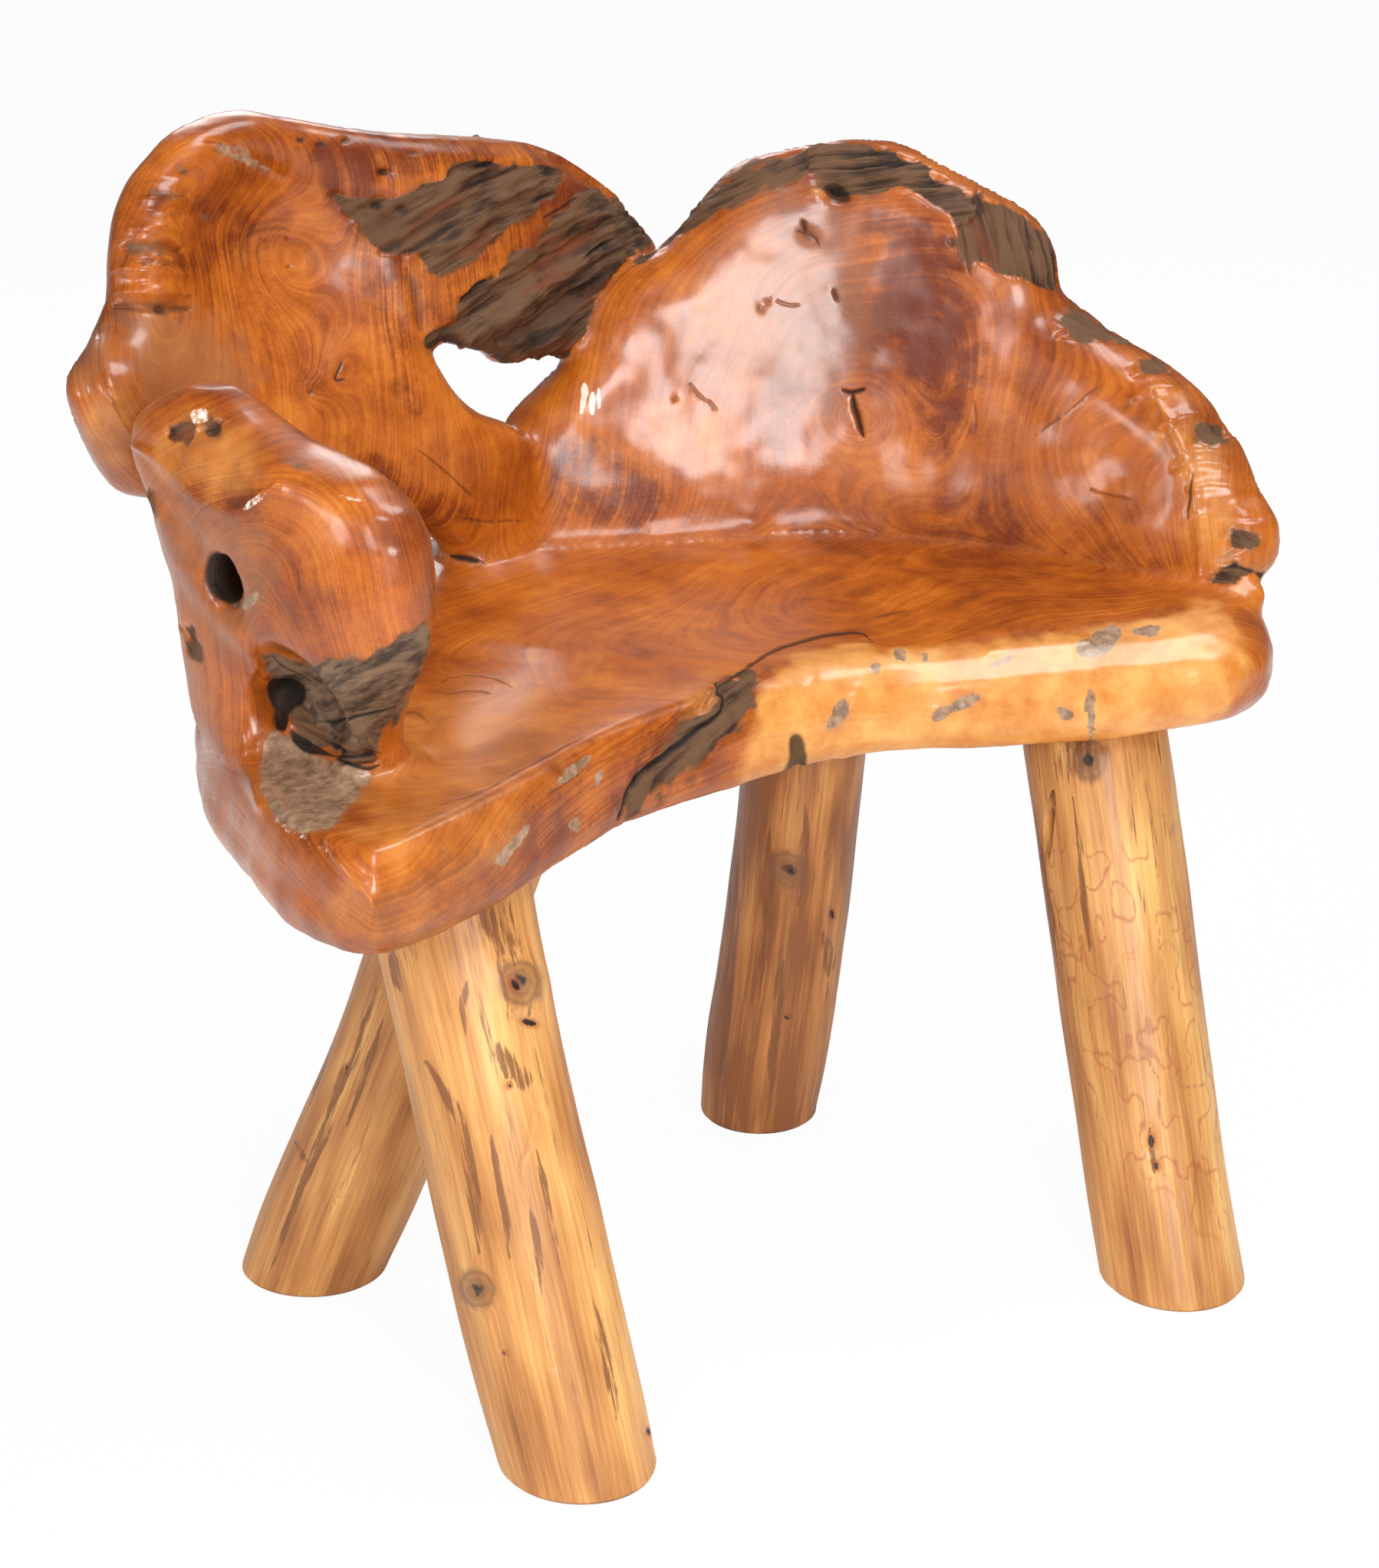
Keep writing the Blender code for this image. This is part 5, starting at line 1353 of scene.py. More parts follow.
def new_finish(name):
    """An empty material and a wire to draw its nodes with."""
    material = bpy.data.materials.new(name)
    material.use_nodes = True
    material.node_tree.nodes.clear()
    return material, Wire(material.node_tree)


def finish_with(wire, shader):
    output = wire.tree.nodes.new("ShaderNodeOutputMaterial")
    wire.tree.links.new(shader.socket, output.inputs["Surface"])


def wear(pieces, material):
    for piece in pieces:
        piece.data.materials.clear()
        piece.data.materials.append(material)


print("middle grey", colour(128, 128, 128))

# %% [markdown]
# The root wood is teak under a thick glossy lacquer. Its colour comes from the rings: noise that
# changes fast from ring to ring and slowly along them, over broad lighter and darker areas. The
# ring field goes in as the noise's fourth coordinate, which is what makes the noise follow it.
# %% Plain teak
TEAK_DEEP = colour(98, 38, 8)
TEAK_DARK = colour(138, 62, 12)
TEAK = colour(180, 92, 20)
TEAK_LIGHT = colour(210, 122, 38)
TEAK_PALE = colour(228, 150, 62)
TEAK_STOPS = [(0.12, TEAK_DEEP), (0.32, TEAK_DARK), (0.52, TEAK), (0.72, TEAK_LIGHT),
              (0.92, TEAK_PALE)]


def teak_noises(wire):
    """The noises that the wood's colour and its relief share."""
    place, rings = wire.place(), wire.number("rings")
    return {"fine": place.noise_along(rings * 620.0, 22.0, 3.0, 0.6),
            "hair": place.noise_along(rings * 1500.0, 70.0, 2.0, 0.6),
            "band": place.noise_along(rings * 110.0, 9.0, 2.0, 0.55),
            "mottle": place.noise(36.0, 5.0, 0.66), "cloud": place.noise(30.0, 4.0, 0.65),
            "broad": place.noise(7.5, 3.0, 0.6), "fleck": place.noise(330.0, 2.0, 0.6)}


def plain_teak(wire, noises):
    """The wood's tone, from 0 for the darkest to 1, and its colour."""
    weights = {"fine": 0.26, "hair": 0.14, "band": 0.46, "mottle": 0.55, "broad": 0.85,
               "fleck": 0.16}
    tone = sum((noises[name] - 0.5) * weight for name, weight in weights.items()) + 0.47
    return tone, wire.node("ValToRGB", {"stops": TEAK_STOPS}, {"Fac": tone})


print("stops of the teak", len(TEAK_STOPS))

# %% [markdown]
# The stored masks bring in the patches, each with a noise that frays its edge. Heartwood, and the
# shade painted with it, darkens the dark rings most. Sapwood is pale and cloudy, and greyed wood
# also paints the sheen of highlights. Scars are sandy, and weathered grey-brown wood, which also
# paints shade under the arm's head and in hollows, is streaked.
# %% Heart and painted shade, sap, greyed wood and painted sheen, scars and stains
SAPWOOD = colour(236, 172, 92)
SAPWOOD_WARM = colour(212, 132, 54)
HEART_AND_SHADE = colour(104, 38, 12)
GREY_WOOD_AND_SHEEN = colour(150, 104, 74)
SCAR_DARK = colour(120, 88, 64)
SCAR_PALE = colour(182, 146, 116)
STAIN = colour(88, 42, 17)
WEATHERED_AND_SHADE_DARK = colour(58, 40, 28)
WEATHERED_AND_SHADE_PALE = colour(126, 98, 74)


def frayed(wire, name, noise, amount):
    """A stored mask with a noise added, which is eased afterwards to give it a ragged edge."""
    return wire.number(name) + (noise - 0.5) * amount


def patched(wire, noises, tone, wood):
    """The wood's colour with all patches mixed in, and the weathering and painted shade mask."""
    place = wire.place()
    # Heartwood darkening, which on the wing's left side and round its bowl is painted shade.
    heart_and_shade = (wire.number("dark") * (2.5 - tone * 3.0)).eased(0.30, 1.15) * 0.85
    wood = heart_and_shade.mixed(wood, HEART_AND_SHADE)
    sap_tone = (tone + (noises["cloud"] - 0.5) * 3.4 - 0.02).clipped()
    wood = (wire.number("sap") * 0.9).mixed(wood, sap_tone.mixed(SAPWOOD_WARM, SAPWOOD))
    # Greyed wood, which in places paints the grey sheen of highlights.
    wood = (wire.number("grey") * 0.75).mixed(wood, GREY_WOOD_AND_SHEEN)
    sand = place.noise(120.0, 4.0, 0.7).eased(0.28, 0.72).mixed(SCAR_DARK, SCAR_PALE)
    scar = frayed(wire, "scar", place.noise(190.0, 3.0, 0.7), 0.8).eased(0.42, 0.68)
    wood = scar.mixed(wood, sand)
    stain = frayed(wire, "halo", noises["mottle"], 1.6).eased(0.30, 1.05) * 0.72
    wood = stain.mixed(wood, STAIN)
    streaks = wire.three("flow").scaled((40.0, 150.0, 60.0)).noise(1.0, 4.0, 0.65)
    # Weathered grey-brown wood, which also paints the shade under the arm's head and in hollows.
    smoke = frayed(wire, "smoke", place.noise(90.0, 4.0, 0.65), 0.9).eased(0.2, 0.85)
    return smoke.mixed(wood, streaks.eased(0.35, 0.65).mixed(WEATHERED_AND_SHADE_DARK, WEATHERED_AND_SHADE_PALE)), smoke


print("sapwood", SAPWOOD)

# %% [markdown]
# Bark is dark in its furrows and paler on its ridges, with rusty places. Its noise is stretched
# along the stored flow, so that it runs with the ridges of the mesh.
# %% Bark
BARK_DARK = colour(28, 18, 12)
BARK_MID = colour(70, 45, 27)
BARK_PALE = colour(106, 74, 48)
BARK_RUST = colour(122, 58, 22)
BARK_STOPS = [(0.10, BARK_DARK), (0.50, BARK_MID), (0.90, BARK_PALE)]


def barked(wire, wood):
    """The wood's colour with bark over it, where the bark is, and the bark's own fine relief."""
    flow = wire.three("flow").scaled((230.0, 18.0, 30.0))
    tone = (flow.noise(1.0, 5.0, 0.7) - 0.5) * 2.3 + (wire.number("ridge") - 0.5) * 1.5 + 0.42
    bark = wire.node("ValToRGB", {"stops": BARK_STOPS}, {"Fac": tone})
    rust = flow.scaled((0.12, 0.3, 0.12)).noise(1.0, 3.0, 0.6).eased(0.56, 0.70)
    bark = (rust * 0.8).mixed(bark, BARK_RUST)
    edge = frayed(wire, "bark", wire.place().noise(110.0, 4.0, 0.65), 0.9)
    edge = (edge + (flow.noise(0.7, 2.0, 0.5) - 0.5) * 0.8).eased(0.30, 0.72)
    return edge.mixed(wood, bark), edge, flow.noise(1.6, 5.0, 0.7) * 6.0


print("stops of the bark", len(BARK_STOPS))

# %% [markdown]
# Last come black cracks, with the painted shade of valleys, holes and crevices, white scuffs and
# a painted highlight, and the gloss. The lacquer is a coat over the wood. It is thinner on dark
# heartwood and painted shade, and bark, weathering, painted shade and cracks have almost none.
# %% Root wood
CRACK_AND_SHADE_BLACK = colour(20, 11, 7)
SCUFF_AND_GLINT_WHITE = colour(238, 222, 204)
LACQUER = 0.55


def root_wood_finish():
    material, wire = new_finish("root_wood")
    place, noises, crack = wire.place(), teak_noises(wire), wire.number("crack")
    tone, wood = plain_teak(wire, noises)
    wood, smoke = patched(wire, noises, tone, wood)
    wood, bark, bark_relief = barked(wire, wood)
    # Black cracks, with the painted shade of valleys, holes and crevices.
    wood = (crack * 0.96).clipped().mixed(wood, CRACK_AND_SHADE_BLACK)
    # White scuffs, and a painted highlight below the arm's hollow.
    scuff = frayed(wire, "scuff", place.noise(210.0, 3.0, 0.7), 0.9).eased(0.5, 0.7)
    wood = scuff.mixed(wood, SCUFF_AND_GLINT_WHITE)
    dull = (bark + smoke * 0.75 + crack).clipped()
    roughness = (place.noise(30.0, 3.0, 0.6) - 0.5) * 0.22 + 0.33 + dull * 0.34
    grain = noises["fine"] * 0.30 + noises["fleck"] * 0.30 + place.noise(75.0, 3.0, 0.6) * 1.3
    relief = grain * (1.0 - bark) + bark_relief * bark
    shader = wire.node("BsdfPrincipled", {}, {
        "Base Color": wood, "Roughness": roughness,
        "Coat Weight": (1.0 - dull) * (1.0 - wire.number("dark") * 0.62) * LACQUER,
        "Coat Roughness": 0.19, "Coat IOR": 1.5, "Specular IOR Level": 0.36,
        "Normal": relief.bump(0.0006, 0.5)})
    finish_with(wire, shader)
    return material


wear(root_pieces, root_wood_finish())
print("root wood on", [piece.name for piece in root_pieces])

# %% [markdown]
# The legs are peeled logs, sawn flat at the floor, with a round tenon turned on the top end. Each
# one is a grid: angles round the log by heights along it. First the solid's own rings of points are
# read, as a radius for each angle and height.
# %% The rings of a log
LOG_COLUMNS = 260
LOG_RING_POINTS = 22
TENON_REACH = 0.035
SHOULDER = 0.3697
LOGS = ("leg_front_left", "leg_front_right", "leg_rear_right", "leg_rear_left")
log_turn = np.linspace(0, 2 * math.pi, LOG_COLUMNS, endpoint=False)


def box_middle(points):
    """The middle of the box round some points, seen from above."""
    return (points[:, :2].max(axis=0) + points[:, :2].min(axis=0)) / 2


def log_profile(name):
    """The solid's rings of points as heights, centres, and radii by angle, all as arrays."""
    points = points_of(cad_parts[name].data)
    heights, centres, radii = [], [], []
    for height in np.unique(np.round(points[:, 2], 4)):
        ring = np.unique(np.round(points[np.round(points[:, 2], 4) == height], 5), axis=0)
        wide = np.hypot(*(ring[:, :2] - ring[:, :2].mean(axis=0)).T) > TENON_REACH
        if wide.sum() < LOG_RING_POINTS or height > SHOULDER:
            continue
        ring = ring[wide]
        middle = box_middle(ring)
        angle = np.arctan2(ring[:, 1] - middle[1], ring[:, 0] - middle[0]) % (2 * math.pi)
        order = np.argsort(angle)
        radius = np.hypot(*(ring[order, :2] - middle).T)
        radii.append(np.interp(log_turn, angle[order], radius, period=2 * math.pi))
        heights.append(height)
        centres.append(middle)
    return np.array(heights), np.array(centres), np.array(radii)


print("rings", {name: len(log_profile(name)[0]) for name in LOGS})

# %% [markdown]
# Then the rows of the new surface are laid out, from the middle of the sole to the middle of the
# tenon's end, with the solid's facets smoothed away along the log and round it.
# %% The grid of a log
LOG_ROWS = 280
SOLE_SHARES = (0.25, 0.5, 0.75, 0.93)
SHOULDER_SHARES = (0.75, 0.5)
SOLE_CHAMFER = 0.0022
TENON_TOP_CHAMFER = 0.002
SMOOTH_ALONG, SMOOTH_ROUND = 12, 6


def moving_mean(values, reach, ends):
    """The mean over reach rows to each side, with the end rows repeated or wrapped round."""
    padded = np.pad(values, ((reach, reach), (0, 0)), mode=ends)
    share = np.ones(2 * reach + 1) / (2 * reach + 1)
    return np.apply_along_axis(np.convolve, 0, padded, share, "valid")


def log_grid(name):
    """Rows of points from the middle of the sole, out to its edge, up the log, in over the
    shoulder, up the tenon and in to its middle. Each row is a ring round the log's centre line,
    a slanted straight line, at: centre + radius x (cos, sin)."""
    heights, centres, radii = log_profile(name)
    slope = np.polyfit(heights, centres, 1)
    side = np.linspace(0, SHOULDER, LOG_ROWS)
    body = np.column_stack([np.interp(side, heights, column) for column in radii.T])
    body = moving_mean(body, SMOOTH_ALONG, "edge")
    body = moving_mean(body.T, SMOOTH_ROUND, "wrap").T
    points = points_of(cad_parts[name].data)
    top = float(points[:, 2].max())
    end = points[points[:, 2] > top - 0.0001]
    tenon = float(np.hypot(*(end[:, :2] - box_middle(end)).T).max())
    rows = [body[0] * share for share in SOLE_SHARES] + [body[0] - SOLE_CHAMFER]
    levels = [0.0] * len(rows)
    side[0] = SOLE_CHAMFER
    body_rows = range(len(rows), len(rows) + LOG_ROWS)
    rows += list(body)
    levels += list(np.maximum(side, SOLE_CHAMFER * (1 + 0.01 * np.arange(LOG_ROWS))))
    rows += [np.maximum(body[-1] * share, tenon) for share in SHOULDER_SHARES]
    levels += [SHOULDER] * len(SHOULDER_SHARES)
    rows += [np.full(LOG_COLUMNS, tenon)] * 3
    levels += [SHOULDER, (SHOULDER + top) / 2, top - TENON_TOP_CHAMFER]
    rows.append(np.full(LOG_COLUMNS, tenon - TENON_TOP_CHAMFER))
    levels.append(top)
    rows, levels = np.array(rows), np.array(levels)
    middle = levels[:, None] * slope[0] + slope[1]
    grid = np.stack([middle[:, :1] + rows * np.cos(log_turn),
                     middle[:, 1:] + rows * np.sin(log_turn),
                     np.repeat(levels[:, None], LOG_COLUMNS, axis=1)], axis=-1)
    return grid, slope, body_rows


def closed_grid(grid):
    """Faces between the rows of a grid that closes on itself, and a fan to a middle point at each
    end."""
    rows, columns = grid.shape[:2]
    number = np.arange(rows * columns).reshape(rows, columns)
    right = np.roll(number, -1, axis=1)
    faces = np.stack([number[:-1], right[:-1], right[1:], number[1:]], axis=-1).reshape(-1, 4)
    low, high = rows * columns, rows * columns + 1
    bottom = np.column_stack([right[0], number[0], np.full(columns, low)])
    top = np.column_stack([number[-1], right[-1], np.full(columns, high)])
    points = np.vstack([grid.reshape(-1, 3), grid[0].mean(axis=0), grid[-1].mean(axis=0)])
    return points, faces.tolist() + bottom.tolist() + top.tolist()


print("grid", log_grid(LOGS[0])[0].shape)

# %% [markdown]
# A peeled log isn't round: it swells where branches left knots, has small holes and hair cracks,
# and bends a little. Knots and holes are placed by pixels of the photograph, each as the centre,
# the radius in pixels, then a knot's rise in metres, how much longer than wide it is, its turn in
# degrees, and a hole's depth in millimetres.
# %% The four logs
LOG_KNOTS = {
    "leg_front_left": (((678, 1281), 30, 0.0050, 1.1, 70), ((622, 1680), 24, 0.0040, 1.2, 60)),
    "leg_rear_right": (((1028, 1134), 24, 0.0030, 1.3, 30),),
    "leg_front_right": (((1420, 990), 26, 0.0020, 1.2, 90),),
    "leg_rear_left": (),
}
LOG_HOLES = {
    "leg_front_left": (((665, 1415), 6, 1.0, 0, 3.0), ((657, 1764), 5, 1.0, 0, 2.5),
                       ((846, 1866), 6, 1.6, 80, 2.5), ((690, 1333), 9, 2.0, 15, 1.6),
                       ((672, 1284), 9, 1.8, 60, 2.2)),
    "leg_front_right": (((1501, 1488), 7, 2.4, 85, 4.0), ((1507, 1520), 7, 1.4, 80, 3.0)),
    "leg_rear_right": (((1085, 1192), 6, 2.0, 85, 1.5), ((1026, 1327), 5, 1.6, 20, 1.2)),
    "leg_rear_left": (((452, 1392), 4, 2.0, -70, 1.2),),
}
LOG_BENDS = {"leg_front_left": -0.0025, "leg_front_right": -0.0020, "leg_rear_right": 0.0030,
             "leg_rear_left": 0.0040}
LOG_SWELL, LOG_SWELL_SIZES = 0.0022, (0.034, 0.034, 0.10)
LOG_GROOVE, LOG_GROOVE_SIZES = 0.0006, (0.008, 0.008, 0.09)
LOG_HAIR, LOG_HAIR_SIZES = 0.0005, (0.016, 0.016, 0.14)


def beside_axis(points, slope):
    """The points with the log's slanted centre line moved to stand upright at the origin."""
    local = points.copy()
    local[:, :2] -= points[:, 2:] * slope[0] + slope[1]
    return local


def log_relief(name, points, normals, local):
    """Knots stand out, holes and hair cracks go in, and shallow grooves run along the log."""
    view = View(points, normals)
    height = LOG_SWELL * noise(local + len(name), LOG_SWELL_SIZES, 51, 2)
    height += LOG_GROOVE * noise(local, LOG_GROOVE_SIZES, 52, 2)
    for centre, radius, rise, stretch, degrees in LOG_KNOTS[name]:
        height += rise * view.spot(centre, radius, stretch, degrees)
        height -= 0.6 * rise * view.spot(centre, 0.35 * radius, stretch, degrees)
    for centre, radius, stretch, degrees, depth in LOG_HOLES[name]:
        height -= depth / 1000 * view.spot(centre, radius, stretch, degrees)
    hair = np.abs(noise(local, LOG_HAIR_SIZES, 53))
    return height - LOG_HAIR * (1 - ease(hair, 0.0, 0.045))


log_pieces, log_slopes = [], {}
for name in LOGS:
    grid, slope, body_rows = log_grid(name)
    bend = LOG_BENDS[name] * np.sin(math.pi * np.clip(grid[..., 2] / SHOULDER, 0, 1))
    grid += bend[..., None] * rightward
    points, faces = closed_grid(grid)
    mesh = bpy.data.meshes.new(name + "_log")
    mesh.from_pydata(points.tolist(), [], faces)
    local = beside_axis(points, slope)
    height = log_relief(name, points, normals_of(mesh), local)
    row = np.arange(len(points)) // LOG_COLUMNS
    on_side = (row >= body_rows.start) & (row < body_rows.stop)
    fade = on_side * ease(points[:, 2], 0.0, 0.006) * (1 - ease(points[:, 2], 0.355, SHOULDER))
    outward = local * (1, 1, 0)
    outward /= np.maximum(norm(outward, axis=1), 0.001)[:, None]
    set_points(mesh, points + (height * fade)[:, None] * outward)
    log_pieces.append(link_piece(name + "_log", mesh))
    log_slopes[name] = slope
    print(name, "leans", round(math.degrees(math.atan(math.hypot(*slope[0]))), 1), "degrees")

# %% [markdown]
# Near its top each log has a slanted round pocket with a screw in it. The cutter is a plain bar
# laid along the screw's own axis, which is found from the screw's points: it is their longest
# direction. A Boolean modifier cuts it out of the log.
# %% Screw pockets
POCKET_RADIUS = 0.0053
POCKET_SIDES = 32
POCKET_REACH = 0.06
HEAD_SHARE = 0.8


def screw_axis(name):
    """The screw's middle and axis towards its head, and how far its points lie along and off it."""
    points = np.unique(np.round(points_of(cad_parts[name].data), 6), axis=0)
    middle = points.mean(axis=0)
    axis = svd(points - middle, full_matrices=False)[2][0]
    along = (points - middle) @ axis
    across = norm(points - middle - along[:, None] * axis, axis=1)
    if along[across.argmax()] < 0:
        axis, along = -axis, -along
    return middle, axis, along, across


def pocket_bar(start, axis):
    """A closed round bar from start along axis: two rings of points with flat ends."""
    side_a = np.cross(axis, (0.3, 0.5, 0.8))
    side_a /= norm(side_a)
    side_b = np.cross(axis, side_a)
    turn = np.linspace(0, 2 * math.pi, POCKET_SIDES, endpoint=False)
    ring = POCKET_RADIUS * (np.cos(turn)[:, None] * side_a + np.sin(turn)[:, None] * side_b)
    points, faces = closed_grid(np.stack([start + ring, start + POCKET_REACH * axis + ring]))
    mesh = bpy.data.meshes.new("pocket_cutter")
    mesh.from_pydata(points.tolist(), [], faces)
    return mesh


for name, piece in zip(LOGS, log_pieces):
    middle, axis, along, across = screw_axis(name + "_screw")
    head = across > HEAD_SHARE * across.max()
    seat_of_head = middle + axis * along[head].min()
    cutter = link_piece("pocket_cutter", pocket_bar(seat_of_head, axis))
    cut_away = piece.modifiers.new("pocket", "BOOLEAN")
    cut_away.operation = "DIFFERENCE"
    cut_away.solver = "EXACT"
    cut_away.object = cutter
    done = finished_mesh(piece)
    piece.modifiers.clear()
    piece.data = done
    bpy.data.objects.remove(cutter)
    done.shade_smooth()
    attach(piece, "root")
    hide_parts(name)
    print(piece.name, "points", len(done.vertices), "head radius", round(float(across.max()), 4))

# %% [markdown]
# Peeled wood is pale honey with streaks that run along the log, darker where some bark stayed. The
# boldest ones are drawn, each with its width in pixels. On one leg beetles left a net of thin brown
# galleries under the bark: the places where a noise crosses zero.
# %% Streaks, galleries and knots of the logs
STREAKS = {
    "leg_front_left": (
        (26, (632, 1190, 650, 1215, 664, 1242)), (12, (511, 1240, 516, 1270, 524, 1292)),
        (8, (611, 1278, 600, 1319, 608, 1350)), (24, (650, 1376, 668, 1392, 680, 1408)),
        (14, (556, 1384, 580, 1425, 606, 1466, 616, 1540, 626, 1634)),
        (8, (640, 1480, 654, 1560, 664, 1640)), (7, (700, 1500, 716, 1580, 730, 1650)),
        (10, (770, 1690, 790, 1760, 806, 1850)), (8, (690, 1560, 700, 1620, 706, 1690)),
    ),
    "leg_front_right": (
        (22, (1410, 972, 1416, 990, 1420, 1012)), (9, (1350, 1050, 1362, 1150, 1378, 1260)),
        (7, (1400, 1040, 1412, 1160, 1420, 1240)), (8, (1500, 1470, 1506, 1530)),
    ),
    "leg_rear_right": (
        (14, (1074, 1218, 1082, 1245, 1080, 1270)), (10, (1000, 1060, 1006, 1180, 990, 1300)),
        (12, (960, 1090, 956, 1220, 940, 1400)), (9, (1050, 1050, 1052, 1100, 1040, 1180)),
        (10, (1020, 1230, 1012, 1330, 1004, 1440)),
    ),
    "leg_rear_left": (
        (11, (492, 1286, 466, 1359, 446, 1406, 426, 1465, 406, 1515, 380, 1581, 353, 1658)),
        (8, (500, 1330, 476, 1400, 452, 1470)), (8, (446, 1290, 428, 1370, 404, 1440)),
        (6, (386, 1489, 399, 1515)),
    ),
}
LOG_TONES = {"leg_front_left": 0.0, "leg_front_right": 0.02, "leg_rear_right": -0.32,
             "leg_rear_left": -0.04}
GALLERY_LEG = "leg_front_right"
GALLERY_SIZES, GALLERY_WIDTH = (0.014, 0.014, 0.019), 0.075
TOP_DARKENING_SIZES = (0.012, 0.012, 0.05)

for name, piece in zip(LOGS, log_pieces):
    mesh = piece.data
    points = points_of(mesh)
    local = beside_axis(points, log_slopes[name])
    view = View(points, normals_of(mesh))
    streak, gallery, knot = (np.zeros(len(points)) for _ in range(3))
    for width, line in STREAKS[name]:
        streak = np.maximum(streak, np.minimum(1, 1.6 * view.stroke(line, width)))
    if name == GALLERY_LEG:
        low = ease(points[:, 2], 0.01, 0.04) * (1 - ease(points[:, 2], 0.28, 0.34))
        near_zero = 1 - ease(np.abs(noise(local, GALLERY_SIZES, 61, 2)), 0.0, GALLERY_WIDTH)
        gallery = 0.9 * near_zero * low * ease(noise(local, 0.05, 62), -0.55, -0.1)
    # Each log is made darker in patches towards its top.
    darker_near_top = ease(noise(local, TOP_DARKENING_SIZES, 63, 2), -0.4, 0.4) * ease(points[:, 2], 0.25, 0.36)
    streak = np.maximum(streak, 0.6 * darker_near_top)
    for centre, radius, _, stretch, degrees in LOG_KNOTS[name]:
        knot = np.maximum(knot, view.spot(centre, 1.15 * radius, stretch, degrees))
    # The holes join the gallery mask, and their dark centres are painted shade.
    for centre, radius, stretch, degrees, _ in LOG_HOLES[name]:
        gallery = np.maximum(gallery, ease(view.spot(centre, radius, stretch, degrees), 0.3, 0.8))
    store(mesh, "log", local)
    store(mesh, "streak", streak)
    store(mesh, "gallery", gallery)
    store(mesh, "knot", knot)
    print(name, "streaked share", round(float(streak.mean()), 3))

# %% [markdown]
# The log's own coordinates, stored on each point, stretch the noises along the log. Knots get
# rings, and streaks and galleries are mixed in over the grain. The lacquer on the logs is thin.
# %% Log wood
HONEY_DEEP = colour(138, 82, 38)
HONEY_DARK = colour(178, 116, 58)
HONEY = colour(208, 148, 82)
HONEY_PALE = colour(234, 184, 108)
LOG_STREAK = colour(120, 70, 32)
LOG_KNOT = colour(126, 82, 48)
LOG_GALLERY = colour(164, 84, 48)
LOG_HOLE = colour(46, 26, 14)


HONEY_STOPS = [(0.10, HONEY_DEEP), (0.34, HONEY_DARK), (0.58, HONEY), (0.88, HONEY_PALE)]


def log_wood_finish(name, shift):
    material, wire = new_finish(name)
    gallery, knot = wire.number("gallery"), wire.number("knot")

    def grained(round_it, along_it, detail, roughness):
        """Noise that changes at one rate round the log and at a lower one along it."""
        rates = (round_it, round_it, along_it)
        return wire.three("log").scaled(rates).noise(1.0, detail, roughness)

    fibres = grained(420.0, 14.0, 3.0, 0.6)
    grain = grained(95.0, 5.0, 3.0, 0.6)
    broad = grained(26.0, 7.0, 2.0, 0.5)
    tone = (fibres - 0.5) * 0.55 + (grain - 0.5) * 0.65 + (broad - 0.5) * 1.35 + 0.52 + shift
    wood = wire.node("ValToRGB", {"stops": HONEY_STOPS}, {"Fac": tone})
    thin = grained(150.0, 9.0, 4.0, 0.7).eased(0.58, 0.66) * broad.eased(0.42, 0.62)
    dashes = grained(260.0, 22.0, 4.0, 0.7)
    mark = (wire.number("streak") * 0.75 + (dashes - 0.5) * 2.6).eased(0.42, 0.78)
    wood = wire.math("MAXIMUM", thin * 0.8, mark * 0.85).mixed(wood, LOG_STREAK)
    cloud = grained(120.0, 120.0, 3.0, 0.6)
    rings = wire.math("SINE", knot * 26.0 + cloud * 9.0) * 0.5 + 0.5
    knot_mask = (knot + (cloud - 0.5) * 0.4).eased(0.34, 0.62)
    wood = (knot_mask * (rings * 0.25 + 0.55)).mixed(wood, LOG_KNOT)
    wood = (knot + (cloud - 0.5) * 0.3).eased(0.88, 0.98).mixed(wood, LOG_HOLE)
    wood = (gallery * 0.75).clipped().mixed(wood, LOG_GALLERY)
    # Painted shade in the centres of the holes.
    wood = gallery.eased(0.93, 0.99).mixed(wood, LOG_HOLE)
    relief = fibres + grain * 1.4 - gallery * 1.2
    shader = wire.node("BsdfPrincipled", {}, {
        "Base Color": wood, "Roughness": (grain - 0.5) * 0.2 + 0.48, "Coat Weight": 0.12,
        "Coat Roughness": 0.28, "Normal": relief.bump(0.0006, 0.5)})
    finish_with(wire, shader)
    return material


for name, piece in zip(LOGS, log_pieces):
    wear([piece], log_wood_finish(name + "_wood", LOG_TONES[name]))
    print(piece.name, "wears", piece.data.materials[0].name)

# %% [markdown]
# The screws, washers and dowels keep their own solids. Zinc-plated steel is grey with a faint
# cloudy pattern and fine turning marks; dowel wood is plain pale hardwood with straight grain.
# %% Steel and dowels
STEEL = colour(176, 178, 182)
STEEL_DULL = colour(140, 142, 150)
DOWEL = colour(206, 174, 126)
DOWEL_DARK = colour(176, 140, 92)


def steel_finish():
    material, wire = new_finish("fastener_steel")
    place = wire.place()
    cloud = place.noise(220.0, 3.0, 0.6)
    marks = place.scaled((60.0, 60.0, 1500.0)).noise(1.0, 2.0, 0.5)
    shader = wire.node("BsdfPrincipled", {}, {
        "Base Color": cloud.mixed(STEEL_DULL, STEEL), "Metallic": 1.0,
        "Roughness": cloud * 0.2 + 0.24, "Normal": (marks * 0.3 + cloud).bump(0.00006, 0.4)})
    finish_with(wire, shader)
    return material


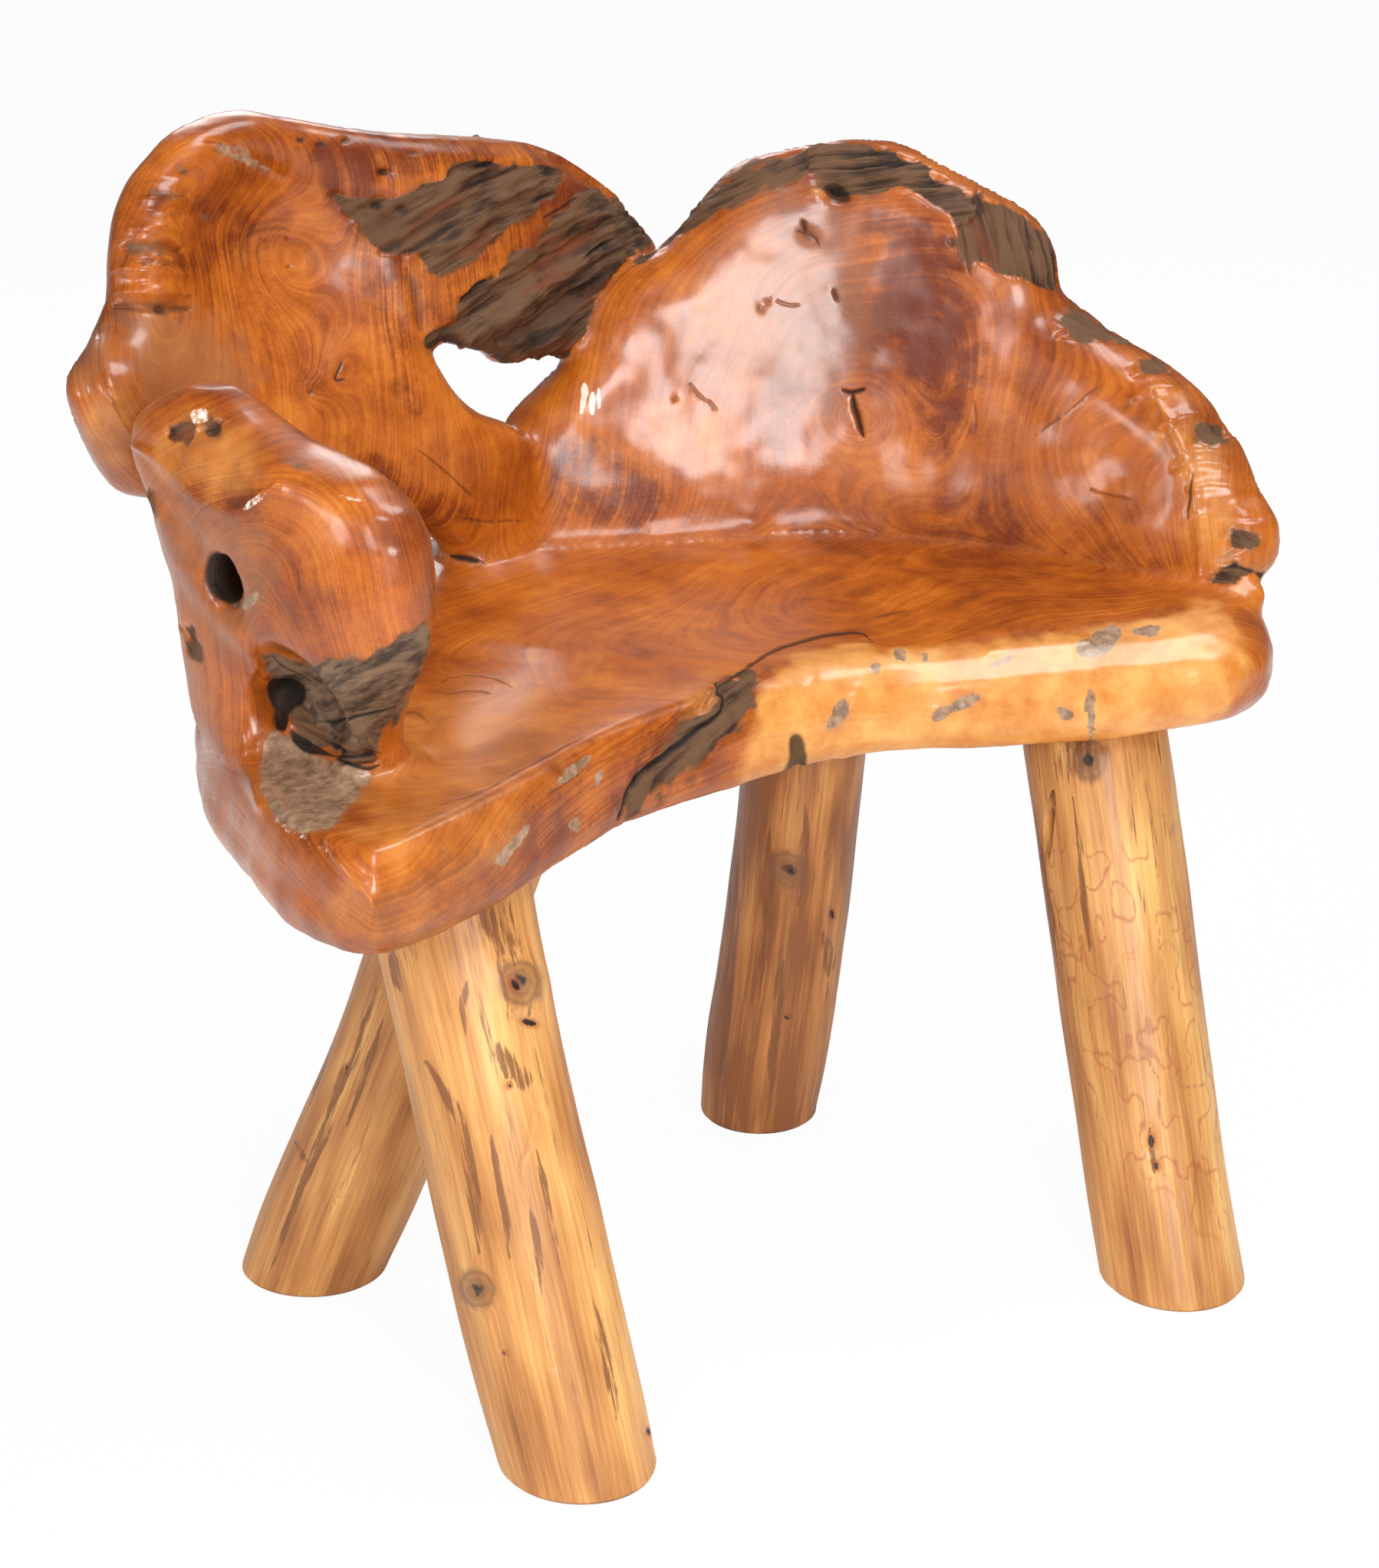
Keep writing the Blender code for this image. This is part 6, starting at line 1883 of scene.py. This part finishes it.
def dowel_finish():
    material, wire = new_finish("dowel_wood")
    grain = wire.place().scaled((500.0, 500.0, 30.0)).noise(1.0, 3.0, 0.6)
    shader = wire.node("BsdfPrincipled", {}, {
        "Base Color": grain.mixed(DOWEL_DARK, DOWEL), "Roughness": grain * 0.15 + 0.5,
        "Normal": grain.bump(0.0002, 0.5)})
    finish_with(wire, shader)
    return material


fastener_steel, dowel_wood = steel_finish(), dowel_finish()
for name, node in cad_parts.items():
    if "screw" in name or "washer" in name:
        wear([node], fastener_steel)
    elif "dowel" in name:
        wear([node], dowel_wood)
print("fasteners", sum("screw" in name or "washer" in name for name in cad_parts))

# %% [markdown]
# The floor is pale and so large that it fills the picture, and an even sky gives the plain level of
# light. The camera sees both as white, which does not light the chair. The lacquer sees a dimmer
# sky, so that its colours stay clear and only the lamps shine in it.
# %% Floor and sky
FLOOR_REACH = 14.0
FLOOR_COLOUR = colour(246, 245, 243)
FLOOR_WHITE = 0.95
SKY_LEVEL = 0.43
SKY_IN_LACQUER = 0.11
WHITE = (1.0, 1.0, 1.0, 1.0)

floor_mesh = bpy.data.meshes.new("floor")
corners = FLOOR_REACH * np.array([(-1, -1, 0), (1, -1, 0), (1, 1, 0), (-1, 1, 0)])
floor_mesh.from_pydata(corners.tolist(), [], [(0, 1, 2, 3)])
floor = link_piece("floor", floor_mesh)
floor_material, wire = new_finish("floor_pale")
floor_shader = wire.node("BsdfPrincipled", {}, {"Base Color": FLOOR_COLOUR, "Roughness": 0.9,
                                                "Specular IOR Level": 0.1})
white = wire.node("Emission", {}, {"Color": WHITE, "Strength": 1.0})
seen_floor = wire.node("LightPath", {}, {}, "Is Camera Ray") * FLOOR_WHITE
finish_with(wire, wire.node("MixShader", {}, {0: seen_floor, 1: floor_shader, 2: white}))
wear([floor], floor_material)

world = bpy.data.worlds.new("soft_sky")
bpy.context.scene.world = world
world.use_nodes = True
world.node_tree.nodes.clear()
sky = Wire(world.node_tree)
is_camera = sky.node("LightPath", {}, {}, "Is Camera Ray")
is_glossy = sky.node("LightPath", {}, {}, "Is Glossy Ray")
is_transmission = sky.node("LightPath", {}, {}, "Is Transmission Ray")
seen = (is_camera + is_transmission).clipped()
strength = (seen * (1.0 - SKY_LEVEL) + SKY_LEVEL) * (1.0 - is_glossy) + is_glossy * SKY_IN_LACQUER
background = sky.node("Background", {}, {"Color": WHITE, "Strength": strength})
world_output = world.node_tree.nodes.new("ShaderNodeOutputWorld")
world.node_tree.links.new(background.socket, world_output.inputs["Surface"])
print("floor reach", FLOOR_REACH, "sky level", SKY_LEVEL)

# %% [markdown]
# Large round lamps stand where the photograph shows their reflections in the lacquer. Each one has
# a place, a point that it aims at, its width and height in metres, and its power in watts.
# %% Lamps
def lamp(name, place, aim, size, power):
    data = bpy.data.lights.new(name, "AREA")
    data.shape = "ELLIPSE"
    data.size, data.size_y = size
    data.energy = power
    light = bpy.data.objects.new(name, data)
    light.location = place
    light.rotation_euler = (Vector(aim) - Vector(place)).to_track_quat("-Z", "Y").to_euler()
    bpy.context.scene.collection.objects.link(light)


lamp("front_lamp", (-0.74, -2.10, 1.08), (0.15, 0.15, 0.55), (0.75, 0.72), 27.0)
lamp("high_lamp", (-0.15, -1.25, 2.45), (0.1, 0.1, 0.45), (0.8, 0.6), 16.0)
lamp("left_lamp", (-2.45, -0.10, 1.20), (0.0, 0.0, 0.5), (0.55, 0.60), 13.0)
lamp("rim_lamp", (-1.72, -1.36, 1.38), (0.37, -0.10, 0.48), (0.40, 0.60), 7.0)
lamp("top_lamp", (0.95, 0.05, 2.4), (0.1, 0.0, 0.45), (0.9, 0.9), 17.0)
lamp("back_lamp", (0.9, 2.3, 1.7), (0.0, 0.0, 0.5), (1.2, 1.0), 14.0)
bpy.context.scene.view_settings.view_transform = "Standard"
print("lamps", [item.name for item in bpy.data.lights])
